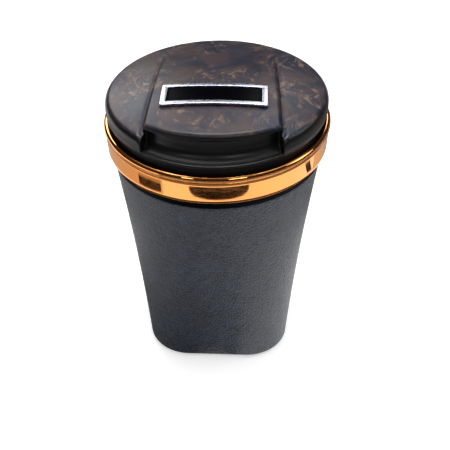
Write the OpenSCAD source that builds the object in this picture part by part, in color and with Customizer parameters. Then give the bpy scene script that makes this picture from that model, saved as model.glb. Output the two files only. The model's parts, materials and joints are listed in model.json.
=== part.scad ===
// Cup-holder ashtray: a leather-wrapped cup that is square at the foot and round at
// the mouth, a twist-off head with a plated collar, and a hinged lid with a finger scoop.
// The origin is the centre of the foot, +Z is up and the finger scoop faces -Y.

/* [Cup] */
// Half width of the rounded square foot, over the leather
base_half = 29.7; // [28:0.1:32]
// Corner radius of the foot, over the leather
base_corner = 17.4; // [13:0.1:20]
// Radius of the round top of the body, over the leather
body_top_r = 40.4; // [38:0.1:44]
// How far the flanks bow inwards halfway up
body_bow = 0.9; // [0:0.1:1.1]
// Height of the body between the foot pad and the trim flange
body_h = 88.9; // [75:0.1:110]
// Wall of the moulded cup
cup_wall = 2; // [1.5:0.1:2.3]
// Floor of the moulded cup
cup_floor = 2; // [1.5:0.1:3]
// Thickness of the leather sleeve
leather_t = 1.2; // [0.8:0.1:1.6]
// Rounding of the sleeve's lower edge
leather_edge_r = 1.1; // [0.4:0.1:1.1]
// Height of bare cup left below the sleeve
leather_lift = 0.4; // [0.2:0.1:1.5]
// Thickness of the rubber foot pad
pad_t = 1; // [0.6:0.1:2]
// Set-back of the pad from the edge of the cup's floor
pad_inset = 0.6; // [0.3:0.1:3]

/* [Neck] */
// Height of the black trim flange
flange_h = 3; // [2.6:0.1:6]
// Overhang of the flange over the leather
flange_lap = 0.3; // [0.1:0.1:1]
// Outward flare of the flange
flange_flare = 0.9; // [0:0.1:1.2]
// Wall of the head's skirt, between the plated ring and the neck
skirt_t = 1.9; // [1.5:0.1:2.2]
// Wall of the neck
neck_wall = 2.4; // [2:0.1:2.6]
// Length that the neck overlaps the inside of the cup wall
neck_root = 2; // [1:0.1:5]
// Depth of the bayonet slots
slot_depth = 1.5; // [1:0.1:1.6]
// Height of a bayonet lug
lug_h = 2; // [1.2:0.1:2.6]
// Width of a bayonet lug, in degrees
lug_deg = 10; // [6:1:14]
// Height of the lugs above the skirt's lower edge
lug_rise = 2.8; // [2:0.1:3.5]
// Twist that frees the head, in degrees
twist_deg = 25; // [15:1:35]
// Number of lugs
lug_count = 3; // [2:1:4]

/* [Liner] */
// Wall of the metal liner
liner_wall = 0.5; // [0.3:0.05:0.8]
// Radial play of the liner in the neck
liner_play = 0.5; // [0.3:0.05:0.8]
// Outer radius of the liner at its bottom
liner_low_r = 24.6; // [20:0.1:25]
// Gap between the liner's bottom and the cup's floor
liner_air = 1; // [0.5:0.1:4]
// Height of the straight part below the liner's rim
liner_straight = 9; // [8:0.5:12]
// Thickness of the rolled rim
rim_t = 1.2; // [0.9:0.1:1.6]
// Reach of the rolled rim's centre line over the neck
rim_reach = 1.5; // [1:0.1:1.7]
// Section diameter of the neck seal
seal_d = 1.4; // [1:0.05:1.6]
// Distance from the rolled rim's centre line in to the seal's
seal_back = 0.8; // [0.4:0.1:1]

/* [Collar] */
// Set-back of the black core from the body's top radius
core_inset = 0; // [0:0.1:0.6]
// Thickness of the plated ring at its lower edge
band_t = 1.75; // [1.2:0.05:2]
// Outward flare of the plain band
band_flare = 0.5; // [0:0.1:0.8]
// Height of the plain band
band_h = 9; // [8:0.1:12]
// Depth of the groove between band and bead
groove_depth = 0.4; // [0.1:0.05:0.6]
// Section radius of the bead
bead_r = 1.35; // [1.2:0.05:1.4]
// Distance from the band's top radius in to the bead's centre line
bead_set = 1; // [0.9:0.05:1.1]
// Height of the bead's centre above the band
bead_rise = 0.9; // [0.8:0.05:1.2]
// Height of black rim that shows above the bead
rim_show = 2.45; // [2:0.05:3]
// Thickness of the deck round the mouth
deck_t = 3; // [2.6:0.1:3.4]
// Wall of the mouth tube
mouth_wall = 1; // [0.7:0.05:1.3]
// Height of the mouth tube above its rest ledge
mouth_depth = 6.4; // [6:0.1:8]
// Thickness of the rest ledge
ledge_t = 1; // [0.8:0.1:1.5]
// Width of the rest ledge
ledge_w = 1.2; // [1:0.1:2]

/* [Cigarette rest] */
// Sheet thickness of the rest
rest_t = 1.2; // [0.8:0.1:1.4]
// Distance of the rest's straight edge behind the centre
rest_edge_y = 4; // [2:0.5:8]
// Depth of the turned-down lip
rest_lip = 2.5; // [1.5:0.1:4]
// Half width of a cigarette notch
notch_r = 4.2; // [3.8:0.1:5]
// Distance of the notches from the centre line
notch_x = 15; // [13:0.5:18]
// Depth of a notch from the edge to the centre of its round end
notch_depth = 3; // [2:0.1:5]
// Bore radius of the snuffer tube
snuffer_r = 5.2; // [4.5:0.1:5.6]
// Wall of the snuffer tube
snuffer_wall = 0.9; // [0.6:0.1:1.2]
// Length of the snuffer tube below the sheet
snuffer_len = 7; // [4:0.5:12]
// Distance of the snuffer tube behind the centre
snuffer_y = 19; // [16:0.5:21]

/* [Hinge] */
// Distance of the hinge axis behind the bead
hinge_clear = 0.95; // [0.6:0.05:1.4]
// Height of the hinge axis above the deck
hinge_rise = 0.9; // [0.8:0.05:1.2]
// Radius of the knuckles
knuckle_r = 3; // [2.4:0.1:3.1]
// Radius of the hinge pin
pin_r = 1.25; // [0.8:0.05:1.5]
// Radial clearance of the pin in the lid's knuckle
pin_run = 0.06; // [0.02:0.01:0.1]
// Radial clearance of the pin in the collar's ears
pin_seat = 0.02; // [0.01:0.01:0.05]
// Half width of the lid's knuckle
knuckle_half = 8; // [6:0.1:9]
// Thickness of a friction washer
washer_t = 0.5; // [0.3:0.05:0.8]
// Side play beside each washer
washer_play = 0.15; // [0.1:0.05:0.2]
// Width of one ear
ear_w = 4.6; // [3:0.1:6]

/* [Lid] */
// Overhang of the lid's lower edge over the core
lid_overhang = 0.9; // [0.4:0.1:1.2]
// Outward flare of the lid's side
lid_flare = 0.5; // [0.2:0.1:0.8]
// Height of the largest radius above the lower edge
lid_wide_h = 2.8; // [2:0.1:3.5]
// Radius of the rounded shoulder
shoulder_r = 2.1; // [1.5:0.05:2.5]
// Height of the crown's centre above the lower edge
crown_h = 11; // [10.5:0.1:12]
// Radius of the crown's sphere
crown_r = 205; // [180:1:260]
// Thickness of the lid's top
lid_top_t = 2; // [1.6:0.1:2.4]
// Thickness of the lid's side
lid_side_t = 2; // [1.6:0.1:2.2]

/* [Centre panel] */
// Distance behind the centre at which the panel's creases begin
crease_y = 25; // [22:0.5:28]
// Half width of the panel where the creases begin
crease_half = 22.2; // [20:0.1:23]
// Outward slope of the creases towards the front, in degrees
crease_deg = 2.4; // [0:0.1:3]
// Tilt that lifts the panel's front, in degrees
panel_tilt = 2.8; // [2:0.1:3.2]
// Radius of the panel's front edge, seen from above
lip_arc_r = 43; // [42:0.5:70]
// How far the panel's front edge stands out over the scoop's back wall
lip_out = 0.5; // [-0.5:0.1:1]
// Height of the lip's underside above the lid's lower edge
lip_z = 8.4; // [8:0.1:9]
// Tilt that sinks the crease grooves towards the front, in degrees
groove_tilt = 0.8; // [0.3:0.1:1]
// Width of a crease groove for each millimetre of its depth
groove_spread = 2; // [0.8:0.1:2.5]

/* [Finger scoop] */
// Depth of the finger scoop from the lid's largest radius
scoop_depth = 5.4; // [4.6:0.1:5.6]
// Radius of the scoop's hollow foot
scoop_fillet = 4; // [3:0.1:4.2]
// Height of rim left below the scoop
scoop_rim = 1.2; // [0.8:0.1:1.6]
// Half width of the scoop at its back wall
scoop_half = 23.4; // [20:0.1:24]
// Outward slant of the scoop's cheeks, in degrees
scoop_slant = 15; // [5:1:25]

/* [Lid plate] */
// Thickness of the lid's inner plate
plate_t = 1.5; // [1.2:0.1:2]
// Height of the plate above the lid's lower edge
plate_lift = 0.4; // [0.3:0.1:0.8]
// Radial play of the plug in the mouth
plug_play = 0.9; // [0.8:0.05:1.1]
// Wall of the plug ring
plug_wall = 1.6; // [1.4:0.1:2]
// Length of the plug ring below the plate
plug_h = 4.1; // [3.6:0.1:4.6]
// Section radius of the plug's gasket
gasket_r = 0.7; // [0.6:0.05:0.8]
// How far the gasket stands out of the plug
gasket_proud = 0.5; // [0.3:0.05:0.5]
// Gap between a screw's head and the plug ring
screw_edge = 1.2; // [0.6:0.1:2]
// Shank radius of the lid screws
screw_r = 0.95; // [0.8:0.05:1.1]
// Head radius of the lid screws
screw_head_r = 1.8; // [1.6:0.05:2]
// Head height of the lid screws
screw_head_h = 0.8; // [0.6:0.05:0.9]
// Length of the screws' shanks
screw_len = 4.5; // [3.5:0.1:5]
// Wall of the screw bosses
boss_wall = 1.6; // [1.2:0.1:2]

/* [Lamp] */
// Radius of the coin cell
cell_r = 10; // [9:0.5:10]
// Thickness of the coin cell
cell_t = 3.2; // [2.5:0.1:3.2]
// Distance of the coin cell behind the centre
cell_y = 3; // [2:0.5:4]
// Wall of the cell's bay
bay_wall = 1.2; // [0.8:0.1:1.4]
// Thickness of the battery door
door_t = 1; // [0.8:0.1:1.2]
// Half width of the door's screw tab
tab_half = 3.4; // [3:0.1:4]
// Radius of the lamp's lens
lens_r = 4; // [3:0.1:5]
// Gap between the lens and the plug ring
lamp_edge = 5; // [4:0.1:6.5]
// Radius of the light-emitting lamp
lamp_r = 1.5; // [1:0.1:2]
// Length of the lamp's body above its dome
lamp_len = 0.7; // [0.4:0.1:1]
// Width of the circuit board
board_w = 16; // [14:0.5:18]
// Depth of the circuit board
board_d = 10; // [8:0.5:11]
// Thickness of the circuit board
board_t = 1; // [0.8:0.1:1.2]
// Distance of the switch plunger outside the mouth
plunger_set = 3; // [2.4:0.1:3.3]
// Radius of the switch plunger
plunger_r = 1.5; // [1:0.1:1.6]
// Travel of the switch plunger
plunger_travel = 1.2; // [0.8:0.1:1.3]
// Thickness of the switch leaf
leaf_t = 0.3; // [0.2:0.05:0.4]

/* [Badge] */
// Length of the badge plate
badge_w = 38.6; // [30:0.1:41]
// Depth of the badge plate
badge_d = 13.9; // [10:0.1:16]
// Width of the badge's bright frame
badge_frame_w = 2; // [1:0.1:3]
// Corner radius of the badge
badge_corner = 0.8; // [0.4:0.1:1.8]
// Height of the badge above the panel
badge_t = 1.2; // [0.6:0.1:2]
// Depth of the black field below the frame's face
badge_sink = 0.4; // [0.1:0.05:0.5]
// Distance of the badge before the centre
badge_y = 12.8; // [8:0.1:15]

/* [Fits] */
// Gap between bodies that move against each other
run_gap = 0.3; // [0.3:0.05:0.35]
// Gap between pieces that are glued or seated together
seat_gap = 0.05; // [0.02:0.01:0.1]

/* [Hidden] */
$fn = 96;
fine_fn = 1440;
loft_sides = 64;
loft_rings = 12;
edge_steps = 3;
eps = 0.01;
far = 60;

// Heights, from the foot up
floor_z = pad_t;
flange_z = floor_z + body_h;
head_z = flange_z + flange_h + run_gap;
band_z = head_z + band_h;
bead_z = band_z + bead_rise;
deck_z = bead_z + bead_r + rim_show;
deck_low_z = deck_z - deck_t;
neck_z = deck_low_z - run_gap - seal_d - rim_t - seat_gap;
rim_z = neck_z + rim_t;
ledge_z = deck_z - mouth_depth;
rest_z = ledge_z;
lug_z = head_z + lug_rise;
lid_z = deck_z + run_gap;
crown_z = lid_z + crown_h;
sphere_z = crown_z - crown_r;
hinge_z = deck_z + hinge_rise;
plate_z = lid_z + plate_lift;
plate_top_z = plate_z + plate_t;

// Radii and offsets that follow from the fits
cup_inset = leather_t + seat_gap;
flange_low_r = body_top_r + flange_lap;
flange_top_r = flange_low_r + flange_flare;
core_r = body_top_r - core_inset;
skirt_r = core_r - skirt_t;
neck_r = skirt_r - run_gap;
neck_in_r = neck_r - neck_wall;
slot_r = neck_r - slot_depth;
liner_top_r = neck_in_r - liner_play;
rim_r = neck_in_r + rim_reach;
seal_r = rim_r - seal_back;
mouth_out_r = liner_top_r - liner_wall - run_gap;
mouth_r = mouth_out_r - mouth_wall;
ring_in_r = core_r + seat_gap;
band_low_r = ring_in_r + band_t;
band_top_r = band_low_r + band_flare;
groove_r = band_top_r - groove_depth;
bead_ring_r = band_top_r - bead_set;
hinge_y = bead_ring_r + bead_r + hinge_clear;
lid_low_r = core_r + lid_overhang;
lid_wide_r = lid_low_r + lid_flare;
scoop_r = lid_wide_r - scoop_depth;
lip_y = scoop_r + lip_out;
plug_r = mouth_r - plug_play;
screw_ring_r = plug_r - plug_wall - screw_head_r - screw_edge;
plunger_x = mouth_r + plunger_set;
ear_x = knuckle_half + 2 * washer_play + washer_t;
hinge_half = ear_x + ear_w;
shoulder_draft = 0.1;
cavity_r = lid_low_r - lid_side_t;
front_cavity_r = scoop_r - lid_side_t;
shoulder_x = lid_wide_r - shoulder_draft - shoulder_r;
shoulder_z = crown_drop(shoulder_x) - shoulder_r;
boss_r = screw_r + boss_wall;
screw_hole_r = screw_r + seat_gap;
screw_angles = [90, 210, 330];

// Lamp parts, from the plate up
door_lap = 0.4;
bay_r = cell_r + run_gap;
bay_out_r = bay_r + bay_wall;
cell_z = plate_z + seat_gap;
bay_top_z = cell_z + cell_t + run_gap * 3;
door_z = plate_z - door_t - seat_gap;
door_r = bay_out_r + door_lap;
tab_overlap = 1;
tab_y = cell_y + door_r + tab_half - tab_overlap;
lens_flange_w = 1;
lens_flange_t = 0.6;
lamp_y = plug_r - plug_wall - lamp_edge - lens_flange_w - lens_r;
lens_top_z = plate_top_z + seat_gap + lens_flange_t;
board_z = lens_top_z + run_gap + lamp_r + lamp_len;
post_r = 1.1;
flange_rest_z = plate_top_z + plunger_travel + run_gap;
plunger_head_t = 0.8;
plunger_head_r = plunger_r + 0.7;
leaf_z = flange_rest_z + plunger_head_t + run_gap;
leaf_len = 8;
leaf_w = 3.2;

// Height of the crown at a distance r from the centre
function crown_drop(r) = sphere_z + sqrt(crown_r * crown_r - r * r);

// Distance from the centre to a rounded square in one direction
function square_reach(half, corner, a) =
    let (c = max(abs(cos(a)), abs(sin(a))), s = min(abs(cos(a)), abs(sin(a))), flat = half - corner)
    s / c * half <= flat ? half / c
        : flat * (c + s) + sqrt(max(0, corner * corner - flat * flat * (c - s) * (c - s)));

// Half width and corner radius of the body, over the leather, at a share t of its height
function body_half(t) = base_half + (body_top_r - base_half) * t - 4 * body_bow * t * (1 - t);
function body_corner(t) = base_corner + (body_top_r - base_corner) * t - 4 * body_bow * t * (1 - t);

// Share of the body's height at z
function share(z) = (z - floor_z) / body_h;

// One ring of the loft at height z, set in by inset
function loft_ring(z, inset) = [
    for (i = [0:loft_sides - 1])
        let (
            a = 360 * i / loft_sides,
            half = body_half(share(z)) - inset,
            corner = min(body_corner(share(z)) - inset, half),
            r = square_reach(half, corner, a)
        )
        [r * cos(a), r * sin(a), z]
];

// Rings between two heights, at an even inset, in the order of the heights
function even_rings(z0, z1, inset) = [
    for (k = [0:loft_rings]) [z0 + (z1 - z0) * k / loft_rings, inset]
];

// Solid skin through a list of [height, inset] rings: capped at its first and last ring,
// or, where it is a sleeve, joined from the last ring back to the first
module loft(rings, sleeve = false) {
    n = loft_sides;
    last = len(rings) - 1;
    walls = [for (ring = rings) each loft_ring(ring[0], ring[1])];
    hubs = sleeve ? [] : [[0, 0, rings[0][0]], [0, 0, rings[last][0]]];
    low_hub = len(walls);
    ends = sleeve ? [] : [
        for (i = [0:n - 1])
            let (j = (i + 1) % n, top = last * n)
            each [[low_hub, i, j], [low_hub + 1, top + j, top + i]]
    ];
    flanks = [
        for (k = [0:sleeve ? last : last - 1], i = [0:n - 1])
            let (j = (i + 1) % n, b = k * n, t = (k + 1) % (last + 1) * n)
            each [[b + i, t + i, t + j], [b + i, t + j, b + j]]
    ];
    polyhedron(concat(walls, hubs), concat(ends, flanks));
}

// Plan of a rounded square
module rounded_plan(half_x, half_y, corner) {
    translate([-half_x + corner, -half_y]) square([2 * (half_x - corner), 2 * half_y]);
    translate([-half_x, -half_y + corner]) square([2 * half_x, 2 * (half_y - corner)]);
    for (sx = [-1, 1], sy = [-1, 1])
        translate([sx * (half_x - corner), sy * (half_y - corner)]) circle(corner);
}

// Flat ring between two radii
module washer(r_out, r_in, z, h) {
    translate([0, 0, z]) rotate_extrude() translate([r_in, 0]) square([r_out - r_in, h]);
}

// Round bar along X at the hinge axis
module hinge_bar(r, x0, x1) {
    translate([x0, hinge_y, hinge_z]) rotate([0, 90, 0]) cylinder(r = r, h = x1 - x0);
}

// Ring sector between two angles
module sector(r_in, r_out, z0, z1, a0, a1) {
    rotate([0, 0, a0])
        rotate_extrude(angle = a1 - a0)
            translate([r_in, z0]) square([r_out - r_in, z1 - z0]);
}

// Solid under the crown's sphere, out to radius r
module under_crown(r, z0, lower) {
    rotate_extrude()
        intersection() {
            translate([0, sphere_z]) circle(r = crown_r - lower, $fn = fine_fn);
            translate([0, z0]) square([r, far]);
        }
}

// Places its children on the tilted centre panel
module on_panel() {
    pivot_z = crown_drop(crease_y);
    translate([0, crease_y, pivot_z])
        rotate([-panel_tilt, 0, 0])
            translate([0, -crease_y, -pivot_z])
                children();
}

module outer_cup() {
    slot_z0 = lug_z - run_gap;
    slot_z1 = lug_z + lug_h + run_gap;
    edge = 1;
    color([0.03, 0.03, 0.035])
        difference() {
            union() {
                loft(concat(
                    even_rings(floor_z, flange_z, cup_inset),
                    even_rings(flange_z, floor_z + cup_floor, cup_inset + cup_wall)
                ));
                rotate_extrude()
                    polygon([
                        [neck_in_r, flange_z - neck_root], [neck_r, flange_z - neck_root],
                        [neck_r, flange_z], [flange_low_r, flange_z],
                        [flange_top_r, flange_z + flange_h], [neck_r, flange_z + flange_h],
                        [neck_r, neck_z], [neck_in_r, neck_z],
                    ]);
            }
            for (i = [0:lug_count - 1])
                rotate([0, 0, 360 * i / lug_count - lug_deg / 2]) {
                    sector(slot_r, neck_r + 1, slot_z0, slot_z1, -edge, lug_deg + twist_deg + edge);
                    sector(slot_r, neck_r + 1, slot_z0, neck_z + 1, twist_deg - edge, lug_deg + twist_deg + edge);
                }
        }
}

module leather_sleeve() {
    low = floor_z + leather_lift;
    high = flange_z - seat_gap;
    rounding = [
        for (k = [0:edge_steps])
            let (a = 90 * k / edge_steps)
            [low + leather_edge_r * (1 - cos(a)), leather_edge_r * (1 - sin(a))]
    ];
    flank = even_rings(low + leather_edge_r, high, 0);
    outside = concat(rounding, [for (k = [1:loft_rings]) flank[k]]);
    color([0.07, 0.075, 0.085])
        loft(concat(outside, even_rings(high, low, leather_t)), sleeve = true);
}

module base_pad() {
    inset = cup_inset + pad_inset;
    color([0.02, 0.02, 0.02])
        linear_extrude(pad_t)
            rounded_plan(base_half - inset, base_half - inset, base_corner - inset);
}

module inner_liner() {
    low = floor_z + cup_floor + liner_air;
    knee = neck_z - liner_straight;
    bottom_fillet = 3;
    hollow_r = liner_low_r - liner_wall;
    color([0.62, 0.63, 0.64])
        rotate_extrude() {
            difference() {
                polygon([
                    [0, low], [liner_low_r - bottom_fillet, low], [liner_low_r, low + bottom_fillet],
                    [liner_top_r, knee], [liner_top_r, rim_z], [0, rim_z],
                ]);
                polygon([
                    [0, low + liner_wall], [hollow_r - bottom_fillet, low + liner_wall],
                    [hollow_r, low + bottom_fillet + liner_wall / 5],
                    [liner_top_r - liner_wall, knee], [liner_top_r - liner_wall, rim_z + 1], [0, rim_z + 1],
                ]);
            }
            translate([liner_top_r - liner_wall, neck_z + rim_t - liner_wall])
                square([rim_r - liner_top_r + liner_wall, liner_wall]);
            translate([rim_r, neck_z + rim_t / 2]) circle(rim_t / 2, $fn = 48);
        }
}

module neck_seal() {
    color([0.05, 0.05, 0.05])
        rotate_extrude()
            translate([seal_r, rim_z + seat_gap + seal_d / 2]) circle(seal_d / 2, $fn = 48);
}

module ear() {
    root_y = core_r - 2.4;
    root_z = deck_low_z + 0.85;
    web_y = hinge_y - 2.7;
    translate([ear_x, 0, 0])
        rotate([90, 0, 90])
            linear_extrude(ear_w) {
                translate([hinge_y, hinge_z]) circle(knuckle_r);
                polygon([
                    [root_y, root_z], [root_y, deck_z],
                    [web_y, deck_z], [hinge_y, hinge_z], [hinge_y, hinge_z - knuckle_r],
                ]);
            }
}

module collar_core() {
    color([0.03, 0.03, 0.035])
        difference() {
            union() {
                rotate_extrude()
                    polygon([
                        [skirt_r, head_z], [core_r, head_z], [core_r, deck_z], [mouth_r, deck_z],
                        [mouth_r, ledge_z], [mouth_r - ledge_w, ledge_z],
                        [mouth_r - ledge_w, ledge_z - ledge_t], [mouth_out_r, ledge_z - ledge_t],
                        [mouth_out_r, deck_low_z], [skirt_r, deck_low_z],
                    ]);
                for (i = [0:lug_count - 1])
                    sector(
                        slot_r + run_gap, skirt_r + 0.5, lug_z, lug_z + lug_h,
                        360 * i / lug_count - lug_deg / 2, 360 * i / lug_count + lug_deg / 2
                    );
                ear();
                mirror([1, 0, 0]) ear();
            }
            hinge_bar(pin_r + pin_seat, -hinge_half - 1, hinge_half + 1);
        }
}

module collar_ring() {
    color([0.85, 0.55, 0.35])
        rotate_extrude()
            intersection() {
                union() {
                    polygon([
                        [ring_in_r, head_z], [band_low_r, head_z], [band_top_r, band_z - 0.3],
                        [band_top_r - 0.1, band_z], [groove_r, band_z + 0.1],
                        [groove_r, bead_z], [ring_in_r, bead_z],
                    ]);
                    translate([bead_ring_r, bead_z]) circle(bead_r);
                }
                translate([ring_in_r, 0]) square([far, 3 * far]);
            }
}

module cigarette_rest() {
    rest_r = mouth_r - seat_gap * 2;
    inner_r = mouth_r - ledge_w - run_gap;
    tube_r = snuffer_r + snuffer_wall;
    tube_rise = 0.6;
    color([0.6, 0.6, 0.6])
        translate([0, 0, rest_z])
            difference() {
                union() {
                    intersection() {
                        cylinder(r = rest_r, h = rest_t);
                        translate([-far, rest_edge_y, 0]) cube([2 * far, far, rest_t]);
                    }
                    intersection() {
                        translate([0, 0, -rest_lip]) cylinder(r = inner_r, h = rest_lip + rest_t);
                        translate([-far, rest_edge_y, -rest_lip]) cube([2 * far, rest_t, rest_lip + rest_t]);
                    }
                    translate([0, snuffer_y, -snuffer_len])
                        cylinder(r = tube_r, h = snuffer_len + rest_t + tube_rise);
                }
                translate([0, snuffer_y, -snuffer_len - 1])
                    cylinder(r = snuffer_r, h = snuffer_len + rest_t + 3);
                for (side = [-1, 1])
                    translate([side * notch_x, rest_edge_y, -rest_lip - 1]) {
                        translate([0, notch_depth, 0]) cylinder(r = notch_r, h = rest_lip + 4);
                        translate([-notch_r, -1, 0]) cube([2 * notch_r, notch_depth + 1, rest_lip + 4]);
                    }
            }
}

module hinge_pin() {
    color([0.7, 0.7, 0.7]) hinge_bar(pin_r, -hinge_half, hinge_half);
}

module hinge_washers() {
    color([0.7, 0.68, 0.6])
        for (side = [0, 1])
            mirror([side, 0, 0])
                difference() {
                    hinge_bar(knuckle_r - 0.4, ear_x - washer_play - washer_t, ear_x - washer_play);
                    hinge_bar(pin_r + pin_run, 0, hinge_half);
                }
}

// Space inside the lid, with a gap all round
module lid_cavity(gap) {
    roof = lid_top_t + gap;
    intersection() {
        under_crown(cavity_r - gap, lid_z - 1, roof);
        union() {
            translate([0, 0, lid_z - 1]) cylinder(r = front_cavity_r - gap, h = crown_h);
            translate([-far, -scoop_half / 2 + gap, lid_z - 1]) cube([2 * far, 2 * far, crown_h]);
        }
    }
}

// Slab of the lid's space between two heights
module lid_slab(gap, z0, z1) {
    intersection() {
        lid_cavity(gap);
        translate([-far, -far, z0]) cube([2 * far, 2 * far, z1 - z0]);
    }
}

// Turned form of the lid, without its panel and scoop
module lid_turned() {
    rotate_extrude()
        intersection() {
            union() {
                polygon([
                    [0, lid_z], [lid_low_r, lid_z], [lid_wide_r, lid_z + lid_wide_h],
                    [shoulder_x + shoulder_r, shoulder_z], [0, shoulder_z],
                ]);
                translate([0, shoulder_z]) square([shoulder_x, crown_h]);
                translate([shoulder_x, shoulder_z]) circle(shoulder_r);
            }
            translate([0, sphere_z]) circle(r = crown_r, $fn = fine_fn);
        }
}

// Plan of the raised panel
module panel_plan() {
    run = crease_y + 2 * lip_y;
    front = crease_half + run * tan(crease_deg);
    intersection() {
        polygon([
            [-crease_half, crease_y], [crease_half, crease_y],
            [front, crease_y - run], [-front, crease_y - run],
        ]);
        translate([0, lip_arc_r - lip_y]) circle(lip_arc_r, $fn = 360);
    }
}

// Raised panel: the crown's own sphere, tilted up towards the front
module panel() {
    intersection() {
        translate([0, 0, lid_z + lid_wide_h]) linear_extrude(far) panel_plan();
        on_panel() under_crown(far, lid_z, 0);
    }
}

// Hollow cut for a fingertip, up to height top
module scoop(top) {
    foot_z = lid_z + scoop_rim + scoop_fillet;
    spread = far * tan(scoop_slant);
    y0 = -sqrt(scoop_r * scoop_r - scoop_half * scoop_half);
    intersection() {
        rotate_extrude() {
            translate([scoop_r, foot_z]) square([far, top - foot_z]);
            intersection() {
                translate([scoop_r + scoop_fillet, foot_z]) circle(scoop_fillet);
                translate([scoop_r, foot_z - scoop_fillet]) square([scoop_fillet, scoop_fillet + eps]);
            }
            translate([scoop_r + scoop_fillet - eps, foot_z - scoop_fillet])
                square([far, scoop_fillet + eps]);
        }
        translate([0, 0, lid_z - 1])
            linear_extrude(far)
                polygon([
                    [-scoop_half, 0], [scoop_half, 0], [scoop_half, y0],
                    [scoop_half + spread, y0 - far], [-scoop_half - spread, y0 - far], [-scoop_half, y0],
                ]);
    }
}

// Groove along one crease, on the wing side of the step
module crease_groove() {
    ring_r = sqrt(crown_r * crown_r - crease_half * crease_half);
    tip_z = sphere_z + sqrt(ring_r * ring_r - crease_y * crease_y);
    rise = 1.5;
    sweep = 40;
    translate([crease_half, crease_y, tip_z])
        rotate([0, 0, crease_deg])
            rotate([groove_tilt, 0, 0])
                translate([0, -crease_y, sphere_z - tip_z])
                    rotate([0, -90, 0])
                        rotate([0, 0, -sweep / 2])
                            rotate_extrude(angle = sweep, $fn = fine_fn)
                                polygon([
                                    [ring_r, 0],
                                    [ring_r + rise, 0],
                                    [ring_r + rise, -groove_spread * rise],
                                ]);
}

module lid_cover() {
    color([0.13, 0.12, 0.12])
        difference() {
            union() {
                difference() {
                    lid_turned();
                    scoop(lid_z + far);
                    crease_groove();
                    mirror([1, 0, 0]) crease_groove();
                }
                panel();
            }
            scoop(lid_z + lip_z);
            difference() {
                lid_cavity(0);
                for (a = screw_angles)
                    rotate([0, 0, a]) translate([screw_ring_r, 0, plate_top_z + seat_gap]) cylinder(r = boss_r, h = far);
            }
            for (a = screw_angles)
                rotate([0, 0, a])
                    translate([screw_ring_r, 0, plate_top_z - 1])
                        cylinder(r = screw_hole_r, h = screw_len + 1);
            hinge_bar(knuckle_r + run_gap + 0.2, -hinge_half - run_gap, hinge_half + run_gap);
            translate([-knuckle_half - run_gap, cavity_r - 8, lid_z - 1])
                cube([2 * (knuckle_half + run_gap), 14, plate_lift + 2 * plate_t + 1 + run_gap]);
        }
}

module lid_inner() {
    tongue_y = cavity_r - 6;
    tab_boss_h = 2;
    post_edge = 0.5;
    color([0.05, 0.05, 0.055])
        difference() {
            union() {
                lid_slab(run_gap / 2, plate_z, plate_top_z);
                washer(plug_r, plug_r - plug_wall, plate_z - plug_h, plug_h + eps);
                translate([0, cell_y, plate_top_z - eps]) cylinder(r = bay_out_r, h = bay_top_z - plate_top_z);
                translate([0, tab_y, plate_top_z - eps]) cylinder(r = boss_r, h = tab_boss_h);
                for (sx = [-1, 1])
                    translate([sx * (board_w / 2 - post_r - post_edge), -lamp_y, plate_top_z - eps])
                        cylinder(r = post_r, h = board_z - plate_top_z - seat_gap);
                translate([plunger_x - leaf_len + post_r * 2, 0, plate_top_z - eps])
                    cylinder(r = post_r, h = leaf_z - plate_top_z - seat_gap);
                translate([-knuckle_half, tongue_y, plate_z])
                    cube([2 * knuckle_half, hinge_y - tongue_y, 2 * plate_t]);
                hinge_bar(knuckle_r, -knuckle_half, knuckle_half);
            }
            hinge_bar(pin_r + pin_run, -hinge_half, hinge_half);
            translate([0, cell_y, plate_z - 1]) cylinder(r = bay_r, h = bay_top_z - plate_z + 2);
            translate([0, tab_y, plate_z - 1]) cylinder(r = screw_hole_r, h = 5);
            translate([0, -lamp_y, plate_z - 1]) cylinder(r = lens_r + seat_gap, h = plate_t + 2);
            translate([plunger_x, 0, plate_z - 1]) cylinder(r = plunger_r + pin_run, h = plate_t + 2);
            for (a = screw_angles)
                rotate([0, 0, a])
                    translate([screw_ring_r, 0, plate_z - 1]) {
                        cylinder(r = screw_hole_r, h = plate_t + 2);
                        cylinder(r = screw_head_r + seat_gap * 2, h = screw_head_h + seat_gap + 1);
                    }
            gasket_ring(gasket_r + seat_gap);
        }
}

// Round ring round the plug
module gasket_ring(r) {
    rotate_extrude()
        translate([plug_r + gasket_proud - gasket_r, plate_z - plug_h / 2]) circle(r, $fn = 48);
}

module lid_gasket() {
    color([0.06, 0.06, 0.06]) gasket_ring(gasket_r);
}

// Pan-head screw that points up, with its head below z
module screw(x, y, z) {
    slot_w = 0.5;
    translate([x, y, z]) {
        cylinder(r = screw_r, h = screw_len - seat_gap);
        difference() {
            translate([0, 0, -screw_head_h]) cylinder(r = screw_head_r, h = screw_head_h);
            for (a = [0, 90])
                rotate([0, 0, a])
                    translate([-screw_head_r * 0.6, -slot_w / 2, -screw_head_h - eps])
                        cube([screw_head_r * 1.2, slot_w, screw_head_h / 2]);
        }
    }
}

module lid_screws() {
    color([0.6, 0.6, 0.6])
        for (a = screw_angles)
            screw(screw_ring_r * cos(a), screw_ring_r * sin(a), plate_z + screw_head_h);
}

// Block of the badge's plan between two heights over the tilted crown
module badge_block(half_x, half_y, corner, low, high) {
    intersection() {
        translate([0, -badge_y, lid_z]) linear_extrude(far) rounded_plan(half_x, half_y, corner);
        on_panel()
            difference() {
                under_crown(far, lid_z, -high);
                under_crown(far + 1, lid_z - 1, -low);
            }
    }
}

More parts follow.
